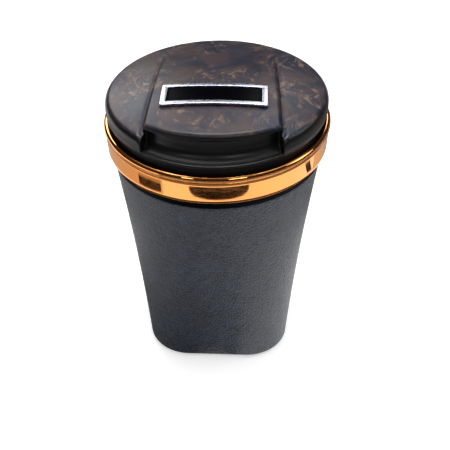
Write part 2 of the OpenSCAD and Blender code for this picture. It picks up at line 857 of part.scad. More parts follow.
module badge_frame() {
    half_x = badge_w / 2;
    half_y = badge_d / 2;
    color([0.85, 0.85, 0.88])
        difference() {
            badge_block(half_x, half_y, badge_corner, seat_gap, badge_t);
            translate([0, -badge_y, lid_z])
                linear_extrude(far)
                    square([badge_w - 2 * badge_frame_w, badge_d - 2 * badge_frame_w], center = true);
        }
}

module badge_inlay() {
    gap = badge_frame_w + seat_gap;
    color([0.02, 0.02, 0.025])
        badge_block(badge_w / 2 - gap, badge_d / 2 - gap, 0.2, seat_gap, badge_t - badge_sink);
}

module led_board() {
    color([0.1, 0.35, 0.15])
        translate([-board_w / 2, -lamp_y - board_d / 2, board_z]) cube([board_w, board_d, board_t]);
}

module led_lamp() {
    color([0.95, 0.95, 0.9])
        translate([0, -lamp_y, board_z - seat_gap]) {
            translate([0, 0, -lamp_len]) cylinder(r = lamp_r, h = lamp_len);
            intersection() {
                translate([0, 0, -lamp_len]) sphere(lamp_r);
                translate([-lamp_r, -lamp_r, -lamp_len - lamp_r]) cube([2 * lamp_r, 2 * lamp_r, lamp_r + eps]);
            }
        }
}

module led_lens() {
    color([0.8, 0.85, 0.9, 0.5])
        translate([0, -lamp_y, 0]) {
            translate([0, 0, plate_z]) cylinder(r = lens_r, h = plate_t + seat_gap + eps);
            translate([0, 0, plate_top_z + seat_gap]) cylinder(r = lens_r + lens_flange_w, h = lens_flange_t);
        }
}

module coin_cell() {
    step = 0.4;
    color([0.75, 0.75, 0.77])
        translate([0, cell_y, cell_z]) {
            cylinder(r = cell_r, h = cell_t - step);
            cylinder(r = cell_r - 1, h = cell_t);
        }
}

module cell_contact() {
    strip_t = 0.3;
    press_r = 2.5;
    color([0.8, 0.7, 0.4])
        translate([0, cell_y, 0]) {
            translate([0, 0, bay_top_z + seat_gap]) cylinder(r = bay_out_r - 0.3, h = strip_t);
            translate([0, 0, cell_z + cell_t + seat_gap])
                cylinder(r = press_r, h = bay_top_z - cell_z - cell_t + eps);
        }
}

module battery_door() {
    grip_w = 1.2;
    grip_len = 9;
    color([0.05, 0.05, 0.055])
        difference() {
            union() {
                translate([0, cell_y, door_z]) cylinder(r = door_r, h = door_t);
                translate([0, tab_y, door_z]) cylinder(r = tab_half, h = door_t);
                translate([-tab_half, cell_y, door_z]) cube([2 * tab_half, tab_y - cell_y, door_t]);
            }
            translate([0, tab_y, door_z - 1]) cylinder(r = screw_hole_r, h = door_t + 2);
            translate([-grip_len / 2, cell_y - grip_w / 2, door_z - eps]) cube([grip_len, grip_w, door_t / 2]);
        }
}

module battery_door_screw() {
    color([0.6, 0.6, 0.6]) screw(0, tab_y, door_z - seat_gap);
}

module switch_leaf() {
    color([0.8, 0.7, 0.4])
        translate([plunger_x - leaf_len + post_r, -leaf_w / 2, leaf_z])
            cube([leaf_len, leaf_w, leaf_t]);
}

module switch_plunger() {
    low = deck_z + run_gap;
    color([0.9, 0.9, 0.88])
        translate([plunger_x, 0, 0]) {
            translate([0, 0, low]) cylinder(r = plunger_r, h = flange_rest_z - low + eps);
            translate([0, 0, flange_rest_z]) cylinder(r = plunger_head_r, h = plunger_head_t);
        }
}

outer_cup();
leather_sleeve();
base_pad();
inner_liner();
neck_seal();
collar_core();
collar_ring();
cigarette_rest();
hinge_pin();
hinge_washers();
lid_cover();
lid_inner();
lid_gasket();
lid_screws();
badge_frame();
badge_inlay();
led_board();
led_lamp();
led_lens();
coin_cell();
cell_contact();
battery_door();
battery_door_screw();
switch_leaf();
switch_plunger();
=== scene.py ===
"""Looks of a lidded cup-holder ashtray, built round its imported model.

Sizes in the classes are millimetres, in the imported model's frame: the origin is the centre
of the foot, +Z is up and the lid's finger scoop faces -Y. Meshes are made in metres.
"""

import json
import logging
import math
from collections.abc import Callable, Sequence
from dataclasses import dataclass, field
from enum import Enum

import bpy
import numpy as np
from mathutils import Matrix, Vector


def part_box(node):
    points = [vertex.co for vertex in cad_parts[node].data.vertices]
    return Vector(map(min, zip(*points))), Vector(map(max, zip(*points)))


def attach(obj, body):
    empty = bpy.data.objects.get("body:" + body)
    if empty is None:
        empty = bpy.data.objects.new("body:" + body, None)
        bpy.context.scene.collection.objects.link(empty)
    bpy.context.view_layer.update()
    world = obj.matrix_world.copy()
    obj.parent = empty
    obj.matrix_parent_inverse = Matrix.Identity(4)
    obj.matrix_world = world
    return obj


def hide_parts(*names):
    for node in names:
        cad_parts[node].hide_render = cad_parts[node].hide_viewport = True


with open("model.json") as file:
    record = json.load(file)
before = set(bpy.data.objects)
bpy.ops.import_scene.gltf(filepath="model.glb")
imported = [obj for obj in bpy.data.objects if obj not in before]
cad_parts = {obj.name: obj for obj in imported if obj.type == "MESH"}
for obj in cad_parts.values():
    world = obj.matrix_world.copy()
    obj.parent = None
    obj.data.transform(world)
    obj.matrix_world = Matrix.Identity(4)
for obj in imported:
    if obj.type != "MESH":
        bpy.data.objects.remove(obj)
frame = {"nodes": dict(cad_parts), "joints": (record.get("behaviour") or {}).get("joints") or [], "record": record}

MM = 0.001
TINY = 1e-6
LOG = logging.getLogger("ashtray")
Points = np.ndarray
Distance = Callable[[Points], np.ndarray]
Color = tuple[float, float, float, float]
Solid = tuple[Points, list[list[int]]]


class Part(Enum):
    """The bodies that pieces ride on."""

    CUP = "cup"
    HEAD = "head"
    LID = "lid"


# Node trees


@dataclass(frozen=True)
class Term:
    """A number in a node tree, for Python's own operators."""

    graph: "Graph"
    socket: bpy.types.NodeSocket

    def __add__(self, other: object) -> "Term":
        """Returns the sum."""
        return self.graph.math("ADD", self, other)

    def __sub__(self, other: object) -> "Term":
        """Returns what is left."""
        return self.graph.math("SUBTRACT", self, other)

    def __rsub__(self, other: object) -> "Term":
        """Returns what is left of a plain number."""
        return self.graph.math("SUBTRACT", other, self)

    def __mul__(self, other: object) -> "Term":
        """Returns the product."""
        return self.graph.math("MULTIPLY", self, other)

    def __truediv__(self, other: object) -> "Term":
        """Returns the quotient."""
        return self.graph.math("DIVIDE", self, other)

    def __rtruediv__(self, other: object) -> "Term":
        """Returns the quotient of a plain number."""
        return self.graph.math("DIVIDE", other, self)

    def __abs__(self) -> "Term":
        """Returns the size without its sign."""
        return self.graph.math("ABSOLUTE", self)

    def at_least(self, least: object) -> "Term":
        """Returns the larger of the two."""
        return self.graph.math("MAXIMUM", self, least)

    def root(self) -> "Term":
        """Returns the square root."""
        return self.graph.math("SQRT", self)


class Graph:
    """Adds and joins the nodes of one tree."""

    def __init__(self, tree: bpy.types.NodeTree) -> None:
        """Works on a tree that may already hold nodes.

        Args:
            tree: The tree to build in.
        """
        self.tree = tree

    def add(self, kind: str, inputs: dict | None = None, **settings: object) -> bpy.types.Node:
        """Adds a node.

        Args:
            kind: The node's type name.
            inputs: What each input holds or is joined to, by name or number.
            **settings: The node's own settings.

        Returns:
            The new node.
        """
        node = self.tree.nodes.new(kind)
        for name, value in settings.items():
            setattr(node, name, value)
        for key, value in (inputs or {}).items():
            self.feed(node.inputs[key], value)
        return node

    def feed(self, socket: bpy.types.NodeSocket, value: object) -> None:
        """Joins a socket to another one, or sets its value.

        Args:
            socket: The input to fill.
            value: A term, an output socket, or a plain value.
        """
        value = value.socket if isinstance(value, Term) else value
        if isinstance(value, bpy.types.NodeSocket):
            self.tree.links.new(value, socket)
        else:
            socket.default_value = value

    def math(self, operation: str, *terms: object) -> Term:
        """Adds a Math node.

        Args:
            operation: The node's operation.
            *terms: Numbers, terms or sockets.

        Returns:
            The result.
        """
        node = self.add("ShaderNodeMath", dict(enumerate(terms)), operation=operation)
        return Term(self, node.outputs[0])

    def noise(self, vector: object, scale: object, detail: float = 2.0, rough: float = 0.5,
              twist: float = 0.0) -> Term:
        """Adds a Noise Texture.

        Args:
            vector: Where it is read.
            scale: Cells for each unit of the vector.
            detail: Octaves.
            rough: Weight of the finer octaves.
            twist: Distortion.

        Returns:
            Its value, from 0 to 1.
        """
        values = {"Vector": vector, "Scale": scale, "Detail": detail, "Roughness": rough,
                  "Distortion": twist}
        return Term(self, self.add("ShaderNodeTexNoise", values).outputs[0])

    def spread(self, value: object, low: float, high: float, to_low: float = 0.0,
               to_high: float = 1.0) -> Term:
        """Adds a Map Range that clamps.

        Args:
            value: What is mapped.
            low: Value that becomes to_low.
            high: Value that becomes to_high.
            to_low: Result at low.
            to_high: Result at high.

        Returns:
            The result.
        """
        values = dict(enumerate((value, low, high, to_low, to_high)))
        return Term(self, self.add("ShaderNodeMapRange", values).outputs[0])

    def blend(self, share: object, first: object, second: object,
              how: str = "MIX") -> bpy.types.NodeSocket:
        """Adds a Mix node for colours.

        Args:
            share: Weight of the second colour.
            first: First colour.
            second: Second colour.
            how: The node's blend type.

        Returns:
            The mixed colour's socket.
        """
        # The node's sockets are numbered: those of its colours are 6, 7 and 2.
        values = {0: share, 6: first, 7: second}
        return self.add("ShaderNodeMix", values, data_type="RGBA", blend_type=how).outputs[2]

    def stretched(self, vector: object, scale: tuple[float, float, float]) -> bpy.types.NodeSocket:
        """Returns a vector's socket after a Mapping node with a scale."""
        return self.add("ShaderNodeMapping", {"Vector": vector, "Scale": scale}).outputs[0]

    def joined(self, x: object, y: object, z: object) -> bpy.types.NodeSocket:
        """Returns the socket of a vector made of three numbers."""
        return self.add("ShaderNodeCombineXYZ", {0: x, 1: y, 2: z}).outputs[0]

    def wander(self, vector: object, scale: float, detail: float, reach: float) -> bpy.types.NodeSocket:
        """Shifts a place about, so that what is read there swirls.

        Args:
            vector: The place.
            scale: Cells of the swirl for each unit.
            detail: Its octaves.
            reach: How far it shifts.

        Returns:
            The shifted place's socket.
        """
        values = {"Vector": vector, "Scale": scale, "Detail": detail}
        swirl = self.add("ShaderNodeTexNoise", values).outputs[1]
        centred = self.add("ShaderNodeVectorMath", {0: swirl, 1: (0.5, 0.5, 0.5)}, operation="SUBTRACT")
        push = self.add("ShaderNodeVectorMath", {0: centred.outputs[0], "Scale": reach}, operation="SCALE")
        return self.add("ShaderNodeVectorMath", {0: vector, 1: push.outputs[0]}, operation="ADD").outputs[0]


def rgba(red: float, green: float, blue: float) -> Color:
    """Linear colour with full alpha."""
    return (red, green, blue, 1.0)


def new_group(name: str, inputs: dict[str, float], outputs: Sequence[str]) -> tuple[Graph, dict, dict]:
    """Starts a shader node group that reads a place and puts out numbers.

    Args:
        name: The group's name.
        inputs: Default of each number that it takes beside the place, Vector.
        outputs: Name of each output.

    Returns:
        The group's graph, its inputs' terms and its outputs' sockets, by name.
    """
    tree = bpy.data.node_groups.new(name, "ShaderNodeTree")
    tree.interface.new_socket(name="Vector", in_out="INPUT", socket_type="NodeSocketVector")
    for key, value in inputs.items():
        socket = tree.interface.new_socket(name=key, in_out="INPUT", socket_type="NodeSocketFloat")
        socket.default_value = value
    for key in outputs:
        tree.interface.new_socket(name=key, in_out="OUTPUT", socket_type="NodeSocketFloat")
    graph = Graph(tree)
    source = graph.add("NodeGroupInput")
    result = graph.add("NodeGroupOutput")
    return graph, {s.name: Term(graph, s) for s in source.outputs}, {s.name: s for s in result.inputs}


class Effects:
    """Shader groups that several finishes share, each built once. They read a place in millimetres."""

    PORES = 0.22
    PEBBLE_TONES = 0.35

    def __init__(self) -> None:
        """Builds the groups."""
        self.pebble = self._pebble()
        self.mottle = self._mottle()
        self.figure = self._figure()

    def _pebble(self) -> bpy.types.NodeTree:
        """Raised pebbles with creases between them, as on embossed leather, with a shade that is painted darker
        towards each crease.

        Returns:
            The group.
        """
        graph, given, out = new_group("pebble_grain", {"Size": 1.0}, ("Height", "Shade"))
        place = graph.wander(given["Vector"], scale=0.9, detail=2.0, reach=0.7)
        cells = {"Vector": place, "Scale": 1.0 / given["Size"], "Randomness": 0.9}
        crease = graph.add("ShaderNodeTexVoronoi", cells, feature="DISTANCE_TO_EDGE")
        cell = graph.add("ShaderNodeTexVoronoi", cells)
        tone = Term(graph, graph.add("ShaderNodeSeparateColor", {0: cell.outputs["Color"]}).outputs[0])
        dome = graph.spread(crease.outputs["Distance"], low=0.0, high=0.26)
        soft = graph.math("POWER", dome, 0.75)
        pores = graph.noise(given["Vector"], scale=5.0, detail=2.0, rough=0.6)
        graph.feed(out["Height"], soft + pores * self.PORES)
        # Shade: darker towards each crease, which is painted shade, mixed with a tone that differs from pebble to
        # pebble.
        graph.feed(out["Shade"], soft * (1 - self.PEBBLE_TONES) + tone * self.PEBBLE_TONES)
        return graph.tree

    def _mottle(self) -> bpy.types.NodeTree:
        """Slow cloud and fine tooth of a moulded or rubbed surface.

        Returns:
            The group.
        """
        graph, given, out = new_group("surface_mottle", {"Tooth": 0.25}, ("Cloud", "Tooth"))
        graph.feed(out["Cloud"], graph.noise(given["Vector"], scale=0.08, detail=3.0, rough=0.55))
        graph.feed(out["Tooth"], graph.noise(given["Vector"], scale=1.0 / given["Tooth"], detail=1.0))
        return graph.tree

    def _figure(self) -> bpy.types.NodeTree:
        """Swirled streaks and eyes of burl, printed on a film.

        Returns:
            The group.
        """
        graph, given, out = new_group("burl_figure", {}, ("Cloud", "Fleck", "Vein"))
        place = graph.wander(given["Vector"], scale=0.045, detail=1.0, reach=26.0)
        drawn = graph.stretched(place, (1.0, 0.5, 1.0))
        graph.feed(out["Cloud"], graph.noise(place, scale=0.1, detail=4.0, rough=0.65))
        streak = graph.noise(drawn, scale=0.42, detail=5.0, rough=0.66, twist=0.8)
        patch = graph.noise(given["Vector"], scale=0.09, detail=2.0, rough=0.5)
        fleck = graph.spread(streak, low=0.5, high=0.68) * graph.spread(patch, low=0.42, high=0.6)
        graph.feed(out["Fleck"], fleck)
        vein = graph.noise(drawn, scale=0.13, detail=4.0, rough=0.55, twist=1.2)
        graph.feed(out["Vein"], graph.spread(abs(vein - 0.5), low=0.0, high=0.07, to_low=1.0, to_high=0.0))
        return graph.tree


# Finishes


class Surface:
    """A material under construction: its graph, its shader and its place in millimetres."""

    def __init__(self, name: str) -> None:
        """Starts a material with a Principled shader.

        Args:
            name: The material's name.
        """
        self.material = bpy.data.materials.new(name)
        self.material.use_nodes = True
        self.graph = Graph(self.material.node_tree)
        self.shader = self.material.node_tree.nodes["Principled BSDF"]
        place = self.graph.add("ShaderNodeTexCoord").outputs["Object"]
        self.place = self.graph.stretched(place, (1 / MM, 1 / MM, 1 / MM))

    def set(self, **values: object) -> None:
        """Sets the shader's sockets.

        Args:
            **values: A plain value or a socket for each input, its name with _ for each space.
        """
        for name, value in values.items():
            self.graph.feed(self.shader.inputs[name.replace("_", " ")], value)

    def use(self, group: bpy.types.NodeTree, **values: object) -> bpy.types.NodeOutputs:
        """Places a shared effect, read at this surface's place.

        Args:
            group: The effect's node group.
            **values: The effect's other inputs.

        Returns:
            The effect's outputs.
        """
        return self.graph.add("ShaderNodeGroup", {"Vector": self.place, **values}, node_tree=group).outputs

    def cloudy(self, cloud: object, thin: float, thick: float) -> None:
        """Joins a slow cloud to the roughness.

        Args:
            cloud: The cloud, from 0 to 1.
            thin: Roughness where it is thin.
            thick: Roughness where it is thick.
        """
        self.set(Roughness=self.graph.spread(cloud, low=0.3, high=0.7, to_low=thin, to_high=thick))

    def bump(self, height: object, depth: float) -> None:
        """Joins a height to the shader's normal.

        Args:
            height: Height, from about 0 to 1.
            depth: Millimetres of relief at a height of 1.
        """
        values = {"Height": height, "Distance": depth * MM}
        self.set(Normal=self.graph.add("ShaderNodeBump", values).outputs[0])


class Finish:
    """A look that materials are made from."""

    def paint(self, surface: Surface, effects: Effects) -> None:
        """Sets the colour, the gloss and the relief of a surface.

        Args:
            surface: The material under construction.
            effects: The shared effects.
        """
        raise NotImplementedError

    def build(self, name: str, effects: Effects) -> bpy.types.Material:
        """Makes a material.

        Args:
            name: Its name.
            effects: The shared effects.

        Returns:
            The material.
        """
        surface = Surface(name)
        self.paint(surface, effects)
        return surface.material


@dataclass(frozen=True)
class Leather(Finish):
    """Dark embossed leather: grey pebbles, creases darkened with painted shade, a dull wax sheen."""

    # Near black deep in the creases: painted shade.
    crease: Color = rgba(0.001, 0.002, 0.004)
    pebble: Color = rgba(0.024, 0.035, 0.062)
    clouds: tuple[float, float] = (0.82, 1.12)
    size: float = 1.25
    depth: float = 0.24
    crease_rough: float = 0.47
    pebble_rough: float = 0.31
    gloss: float = 0.85
    sheen: float = 0.16
    sheen_rough: float = 0.35

    def paint(self, surface: Surface, effects: Effects) -> None:
        """Paints the creases dark with painted shade and the pebbles grey, with a slow cloud over both.

        Args:
            surface: The material under construction.
            effects: The shared effects.
        """
        graph = surface.graph
        grain = surface.use(effects.pebble, Size=self.size)
        mottle = surface.use(effects.mottle, Tooth=0.3)
        # The colour goes to the crease colour where the grain's Shade is low: painted shade in the creases.
        tone = graph.blend(grain["Shade"], self.crease, self.pebble)
        cloud = graph.spread(mottle["Cloud"], 0.35, 0.65, *self.clouds)
        shade = graph.add("ShaderNodeCombineColor", {0: cloud, 1: cloud, 2: cloud}).outputs[0]
        surface.set(Base_Color=graph.blend(1.0, tone, shade, "MULTIPLY"))
        surface.set(Roughness=graph.spread(grain["Shade"], 0.1, 0.9, self.crease_rough, self.pebble_rough))
        surface.set(Specular_IOR_Level=self.gloss, Sheen_Weight=self.sheen, Sheen_Roughness=self.sheen_rough)
        surface.bump(grain["Height"], self.depth)


@dataclass(frozen=True)
class Moulding(Finish):
    """Moulded plastic or rubber with a fine spark texture."""

    color: Color
    rough: float = 0.38
    tooth: float = 0.22
    depth: float = 0.008
    gloss: float = 0.5
    shade: float = 0.8
    smoother: float = 0.05
    rougher: float = 0.06

    def paint(self, surface: Surface, effects: Effects) -> None:
        """Paints one colour, a little darker in places.

        Args:
            surface: The material under construction.
            effects: The shared effects.
        """
        mottle = surface.use(effects.mottle, Tooth=self.tooth)
        dark = rgba(*(self.shade * c for c in self.color[:3]))
        surface.set(Base_Color=surface.graph.blend(mottle["Cloud"], dark, self.color))
        surface.cloudy(mottle["Cloud"], self.rough - self.smoother, self.rough + self.rougher)
        surface.set(Specular_IOR_Level=self.gloss)
        surface.bump(mottle["Tooth"], self.depth)


@dataclass(frozen=True)
class Metal(Finish):
    """Bare or plated metal with faint rubbing marks."""

    color: Color
    rough: float = 0.25
    vary: float = 0.05
    stretch: tuple[float, float, float] = (1.0, 1.0, 1.0)
    depth: float = 0.002
    warmth: float = 1.06
    smoothest: float = 0.02

    def paint(self, surface: Surface, effects: Effects) -> None:
        """Paints one metal, a little warmer in places, rubbed along its stretch.

        Args:
            surface: The material under construction.
            effects: The shared effects.
        """
        graph = surface.graph
        mottle = surface.use(effects.mottle, Tooth=0.35)
        lines = graph.noise(graph.stretched(surface.place, self.stretch), scale=1.6, detail=3.0, rough=0.6)
        warm = rgba(*(min(1.0, self.warmth * c) for c in self.color[:3]))
        surface.set(Base_Color=graph.blend(mottle["Cloud"], self.color, warm), Metallic=1.0)
        surface.cloudy(lines, max(self.smoothest, self.rough - self.vary), self.rough + self.vary)
        surface.bump(lines, self.depth)


@dataclass(frozen=True)
class BurlFilm(Finish):
    """Satin lid: dark burl film on its top, plain dark plastic on its sides."""

    ground: Color = rgba(0.006, 0.009, 0.024)
    brown: Color = rgba(0.037, 0.023, 0.024)
    gold: Color = rgba(0.250, 0.155, 0.095)
    plain: Color = rgba(0.002, 0.002, 0.003)
    veins: float = 0.35
    flecks: float = 0.8
    smooth: float = 0.32
    rough: float = 0.41
    gloss: float = 0.38
    depth: float = 0.006

    def paint(self, surface: Surface, effects: Effects) -> None:
        """Paints the burl where the lid's points say that the film is, and plain plastic elsewhere.

        Args:
            surface: The material under construction.
            effects: The shared effects.
        """
        graph = surface.graph
        figure = surface.use(effects.figure)
        mottle = surface.use(effects.mottle, Tooth=0.2)
        tone = graph.blend(graph.spread(figure["Cloud"], 0.42, 0.6), self.ground, self.brown)
        tone = graph.blend(graph.math("MULTIPLY", figure["Vein"], self.veins), tone, self.brown)
        tone = graph.blend(graph.math("MULTIPLY", figure["Fleck"], self.flecks), tone, self.gold)
        film = graph.add("ShaderNodeAttribute", attribute_name=LidCover.FILM).outputs["Fac"]
        surface.set(Base_Color=graph.blend(film, self.plain, tone), Specular_IOR_Level=self.gloss)
        surface.cloudy(mottle["Cloud"], self.smooth, self.rough)
        surface.bump(mottle["Tooth"], self.depth)


@dataclass(frozen=True)
class ClearPlastic(Finish):
    """Clear moulded plastic."""

    tint: Color = rgba(0.93, 0.95, 0.96)
    clearness: float = 0.9
    index: float = 1.49
    smooth: float = 0.06
    rough: float = 0.12

    def paint(self, surface: Surface, effects: Effects) -> None:
        """Paints a clear body, a little hazy in places.

        Args:
            surface: The material under construction.
            effects: The shared effects.
        """
        mottle = surface.use(effects.mottle, Tooth=0.3)
        surface.set(Base_Color=self.tint, Transmission_Weight=self.clearness, IOR=self.index)
        surface.cloudy(mottle["Cloud"], self.smooth, self.rough)


class Palette:
    """Every material of the object, by its name, which is the record's slot where it has one."""

    FINISHES = {
        "leather": Leather(),
        "burl_lid": BurlFilm(),
        "black_plastic": Moulding(rgba(0.004, 0.004, 0.005), 0.36, gloss=0.14),
        # The cup's black plastic, darker than the other black and nearly without gloss: painted shade under the
        # plated ring.
        "cup_plastic_painted_shade": Moulding(rgba(0.001, 0.001, 0.002), 0.45, gloss=0.012),
        "rubber": Moulding(rgba(0.016, 0.016, 0.016), 0.7, 0.4, 0.02),
        "seal_rubber": Moulding(rgba(0.02, 0.02, 0.021), 0.55, 0.3, 0.01),
        "copper_plate": Metal(rgba(0.85, 0.345, 0.10), 0.045, 0.015, (0.2, 0.2, 1.0), 0.0004),
        "liner_metal": Metal(rgba(0.60, 0.60, 0.61), 0.3, 0.08, (1.0, 1.0, 0.08)),
        "steel": Metal(rgba(0.62, 0.62, 0.63), 0.22, 0.06),
        "badge_metal": Metal(rgba(0.50, 0.52, 0.62), 0.26, 0.04, (0.3, 1.0, 1.0), 0.001),
        "badge_field": Moulding(rgba(0.001, 0.001, 0.002), 0.2, 0.5, 0.002, gloss=0.012),
        "board": Moulding(rgba(0.02, 0.11, 0.045), 0.35),
        "lamp": ClearPlastic(rgba(0.96, 0.96, 0.90)),
        "lens": ClearPlastic(),
        "cell_metal": Metal(rgba(0.66, 0.66, 0.67), 0.2, 0.05),
        "contact_metal": Metal(rgba(0.72, 0.53, 0.24), 0.25, 0.05),
        "white_plastic": Moulding(rgba(0.68, 0.68, 0.65), 0.3),
        "seam_thread": Moulding(rgba(0.03, 0.032, 0.036), 0.6, 0.12, 0.03),
    }

    def __init__(self) -> None:
        """Builds the materials."""
        effects = Effects()
        self.materials = {name: finish.build(name, effects) for name, finish in self.FINISHES.items()}

    def __getitem__(self, name: str) -> bpy.types.Material:
        """Returns a material."""
        return self.materials[name]

    def dress(self, node: str, name: str) -> None:
        """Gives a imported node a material.

        Args:
            node: The node's name.
            name: The material's name.
        """
        piece = frame["nodes"][node]
        if not piece.material_slots:
            piece.data.materials.append(self[name])
        for place in piece.material_slots:
            place.material = self[name]


# Meshes


def new_object(name: str, data: bpy.types.ID) -> bpy.types.Object:
    """Adds an object to the scene.

    Args:
        name: Its name.
        data: Its mesh, curve, light or camera.

    Returns:
        The new object.
    """
    made = bpy.data.objects.new(name, data)
    bpy.context.scene.collection.objects.link(made)
    return made


def mesh_piece(name: str, points: Points, faces: Sequence[Sequence[int]],
               material: bpy.types.Material) -> bpy.types.Object:
    """Makes a smooth mesh object at the origin.

    Args:
        name: The piece's name.
        points: Corners, in millimetres.
        faces: Corner numbers of each face, counter-clockwise from outside.
        material: Its material.

    Returns:
        The new object.
    """
    mesh = bpy.data.meshes.new(name)
    mesh.from_pydata((np.asarray(points) * MM).tolist(), [], [list(map(int, f)) for f in faces])
    mesh.polygons.foreach_set("use_smooth", [True] * len(mesh.polygons))
    mesh.materials.append(material)
    mesh.update()
    return new_object(name, mesh)


def mark_points(piece: bpy.types.Object, name: str, values: Sequence[float]) -> None:
    """Gives each point of a piece a number that its material reads by name."""
    mark = piece.data.attributes.new(name, "FLOAT", "POINT")
    mark.data.foreach_set("value", np.asarray(values, np.float32))


def seat(piece: bpy.types.Object, part: Part, slot: str, *nodes: str) -> None:
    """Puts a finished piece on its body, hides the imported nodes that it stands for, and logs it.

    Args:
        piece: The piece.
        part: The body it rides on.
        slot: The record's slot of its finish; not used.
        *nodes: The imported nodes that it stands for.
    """
    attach(piece, part.value)
    if nodes:
        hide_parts(*nodes)
    LOG.info("%s: %d faces, on %s", piece.name, len(piece.data.polygons), part.value)


def baked(piece: bpy.types.Object) -> bpy.types.Mesh:
    """Returns a new mesh of a piece as its modifiers make it."""
    bpy.context.view_layer.update()
    return bpy.data.meshes.new_from_object(piece.evaluated_get(bpy.context.evaluated_depsgraph_get()))


def plain_mesh(piece: bpy.types.Object) -> None:
    """Bakes a mesh piece's modifiers into its mesh and removes them.

    Args:
        piece: The piece.
    """
    mesh, old = baked(piece), piece.data
    piece.modifiers.clear()
    piece.data = mesh
    mesh.name = piece.name
    bpy.data.meshes.remove(old)


def arc(x: float, z: float, r: float, start: float, end: float, steps: int) -> list[tuple[float, float]]:
    """Points of an arc in a profile.

    Args:
        x: Centre's distance from the axis.
        z: Centre's height.
        r: Radius.
        start: First angle, in degrees from outwards.
        end: Last angle.
        steps: Number of segments.

    Returns:
        The points, as distance and height.
    """
    angles = np.radians(np.linspace(start, end, steps + 1))
    return [(x + r * math.cos(a), z + r * math.sin(a)) for a in angles]


def ring_solid(sections: Points) -> Solid:
    """Closed ring through closed sections.

    Args:
        sections: The points of each section, in order round the ring.

    Returns:
        Points and faces.
    """
    sides, count = sections.shape[:2]
    faces = []
    for i in range(sides):
        here, there = i * count, (i + 1) % sides * count
        for k in range(count):
            m = (k + 1) % count
            faces.append([here + k, there + k, there + m, here + m])
    return sections.reshape(-1, 3), faces


def turned(profile: Sequence[tuple[float, float]], sides: int) -> Solid:
    """Ring turned from a closed profile that doesn't reach the axis.

    Args:
        profile: Distance and height of each point, counter-clockwise.
        sides: Segments round the axis.

    Returns:
        Points and faces.
    """
    turns = 2 * math.pi * np.arange(sides) / sides
    r, z = np.array(profile, float).T
    sections = (np.outer(np.cos(turns), r), np.outer(np.sin(turns), r), np.tile(z, (sides, 1)))
    return ring_solid(np.stack(sections, -1))


def strip(columns: int) -> list[list[int]]:
    """Returns the faces of a strip whose points come in pairs."""
    return [[2 * k, 2 * k + 1, 2 * k + 3, 2 * k + 2] for k in range(columns)]


# Solids by their distance


def ramp(value: np.ndarray, start: float, span: float) -> np.ndarray:
    """Returns the share of a span that a value has passed, from 0 to 1."""
    return np.clip((value - start) / span, 0, 1)


def round_and(first: np.ndarray, second: np.ndarray, radius: float) -> np.ndarray:
    """Returns the distance to what two solids share, with a fillet where their faces meet."""
    outside = np.hypot(np.maximum(first + radius, 0), np.maximum(second + radius, 0))
    return np.minimum(-radius, np.maximum(first, second)) + outside


def round_or(first: np.ndarray, second: np.ndarray, radius: float) -> np.ndarray:
    """Returns the distance to two solids joined, with a fillet where their faces meet."""
    return -round_and(-first, -second, radius)


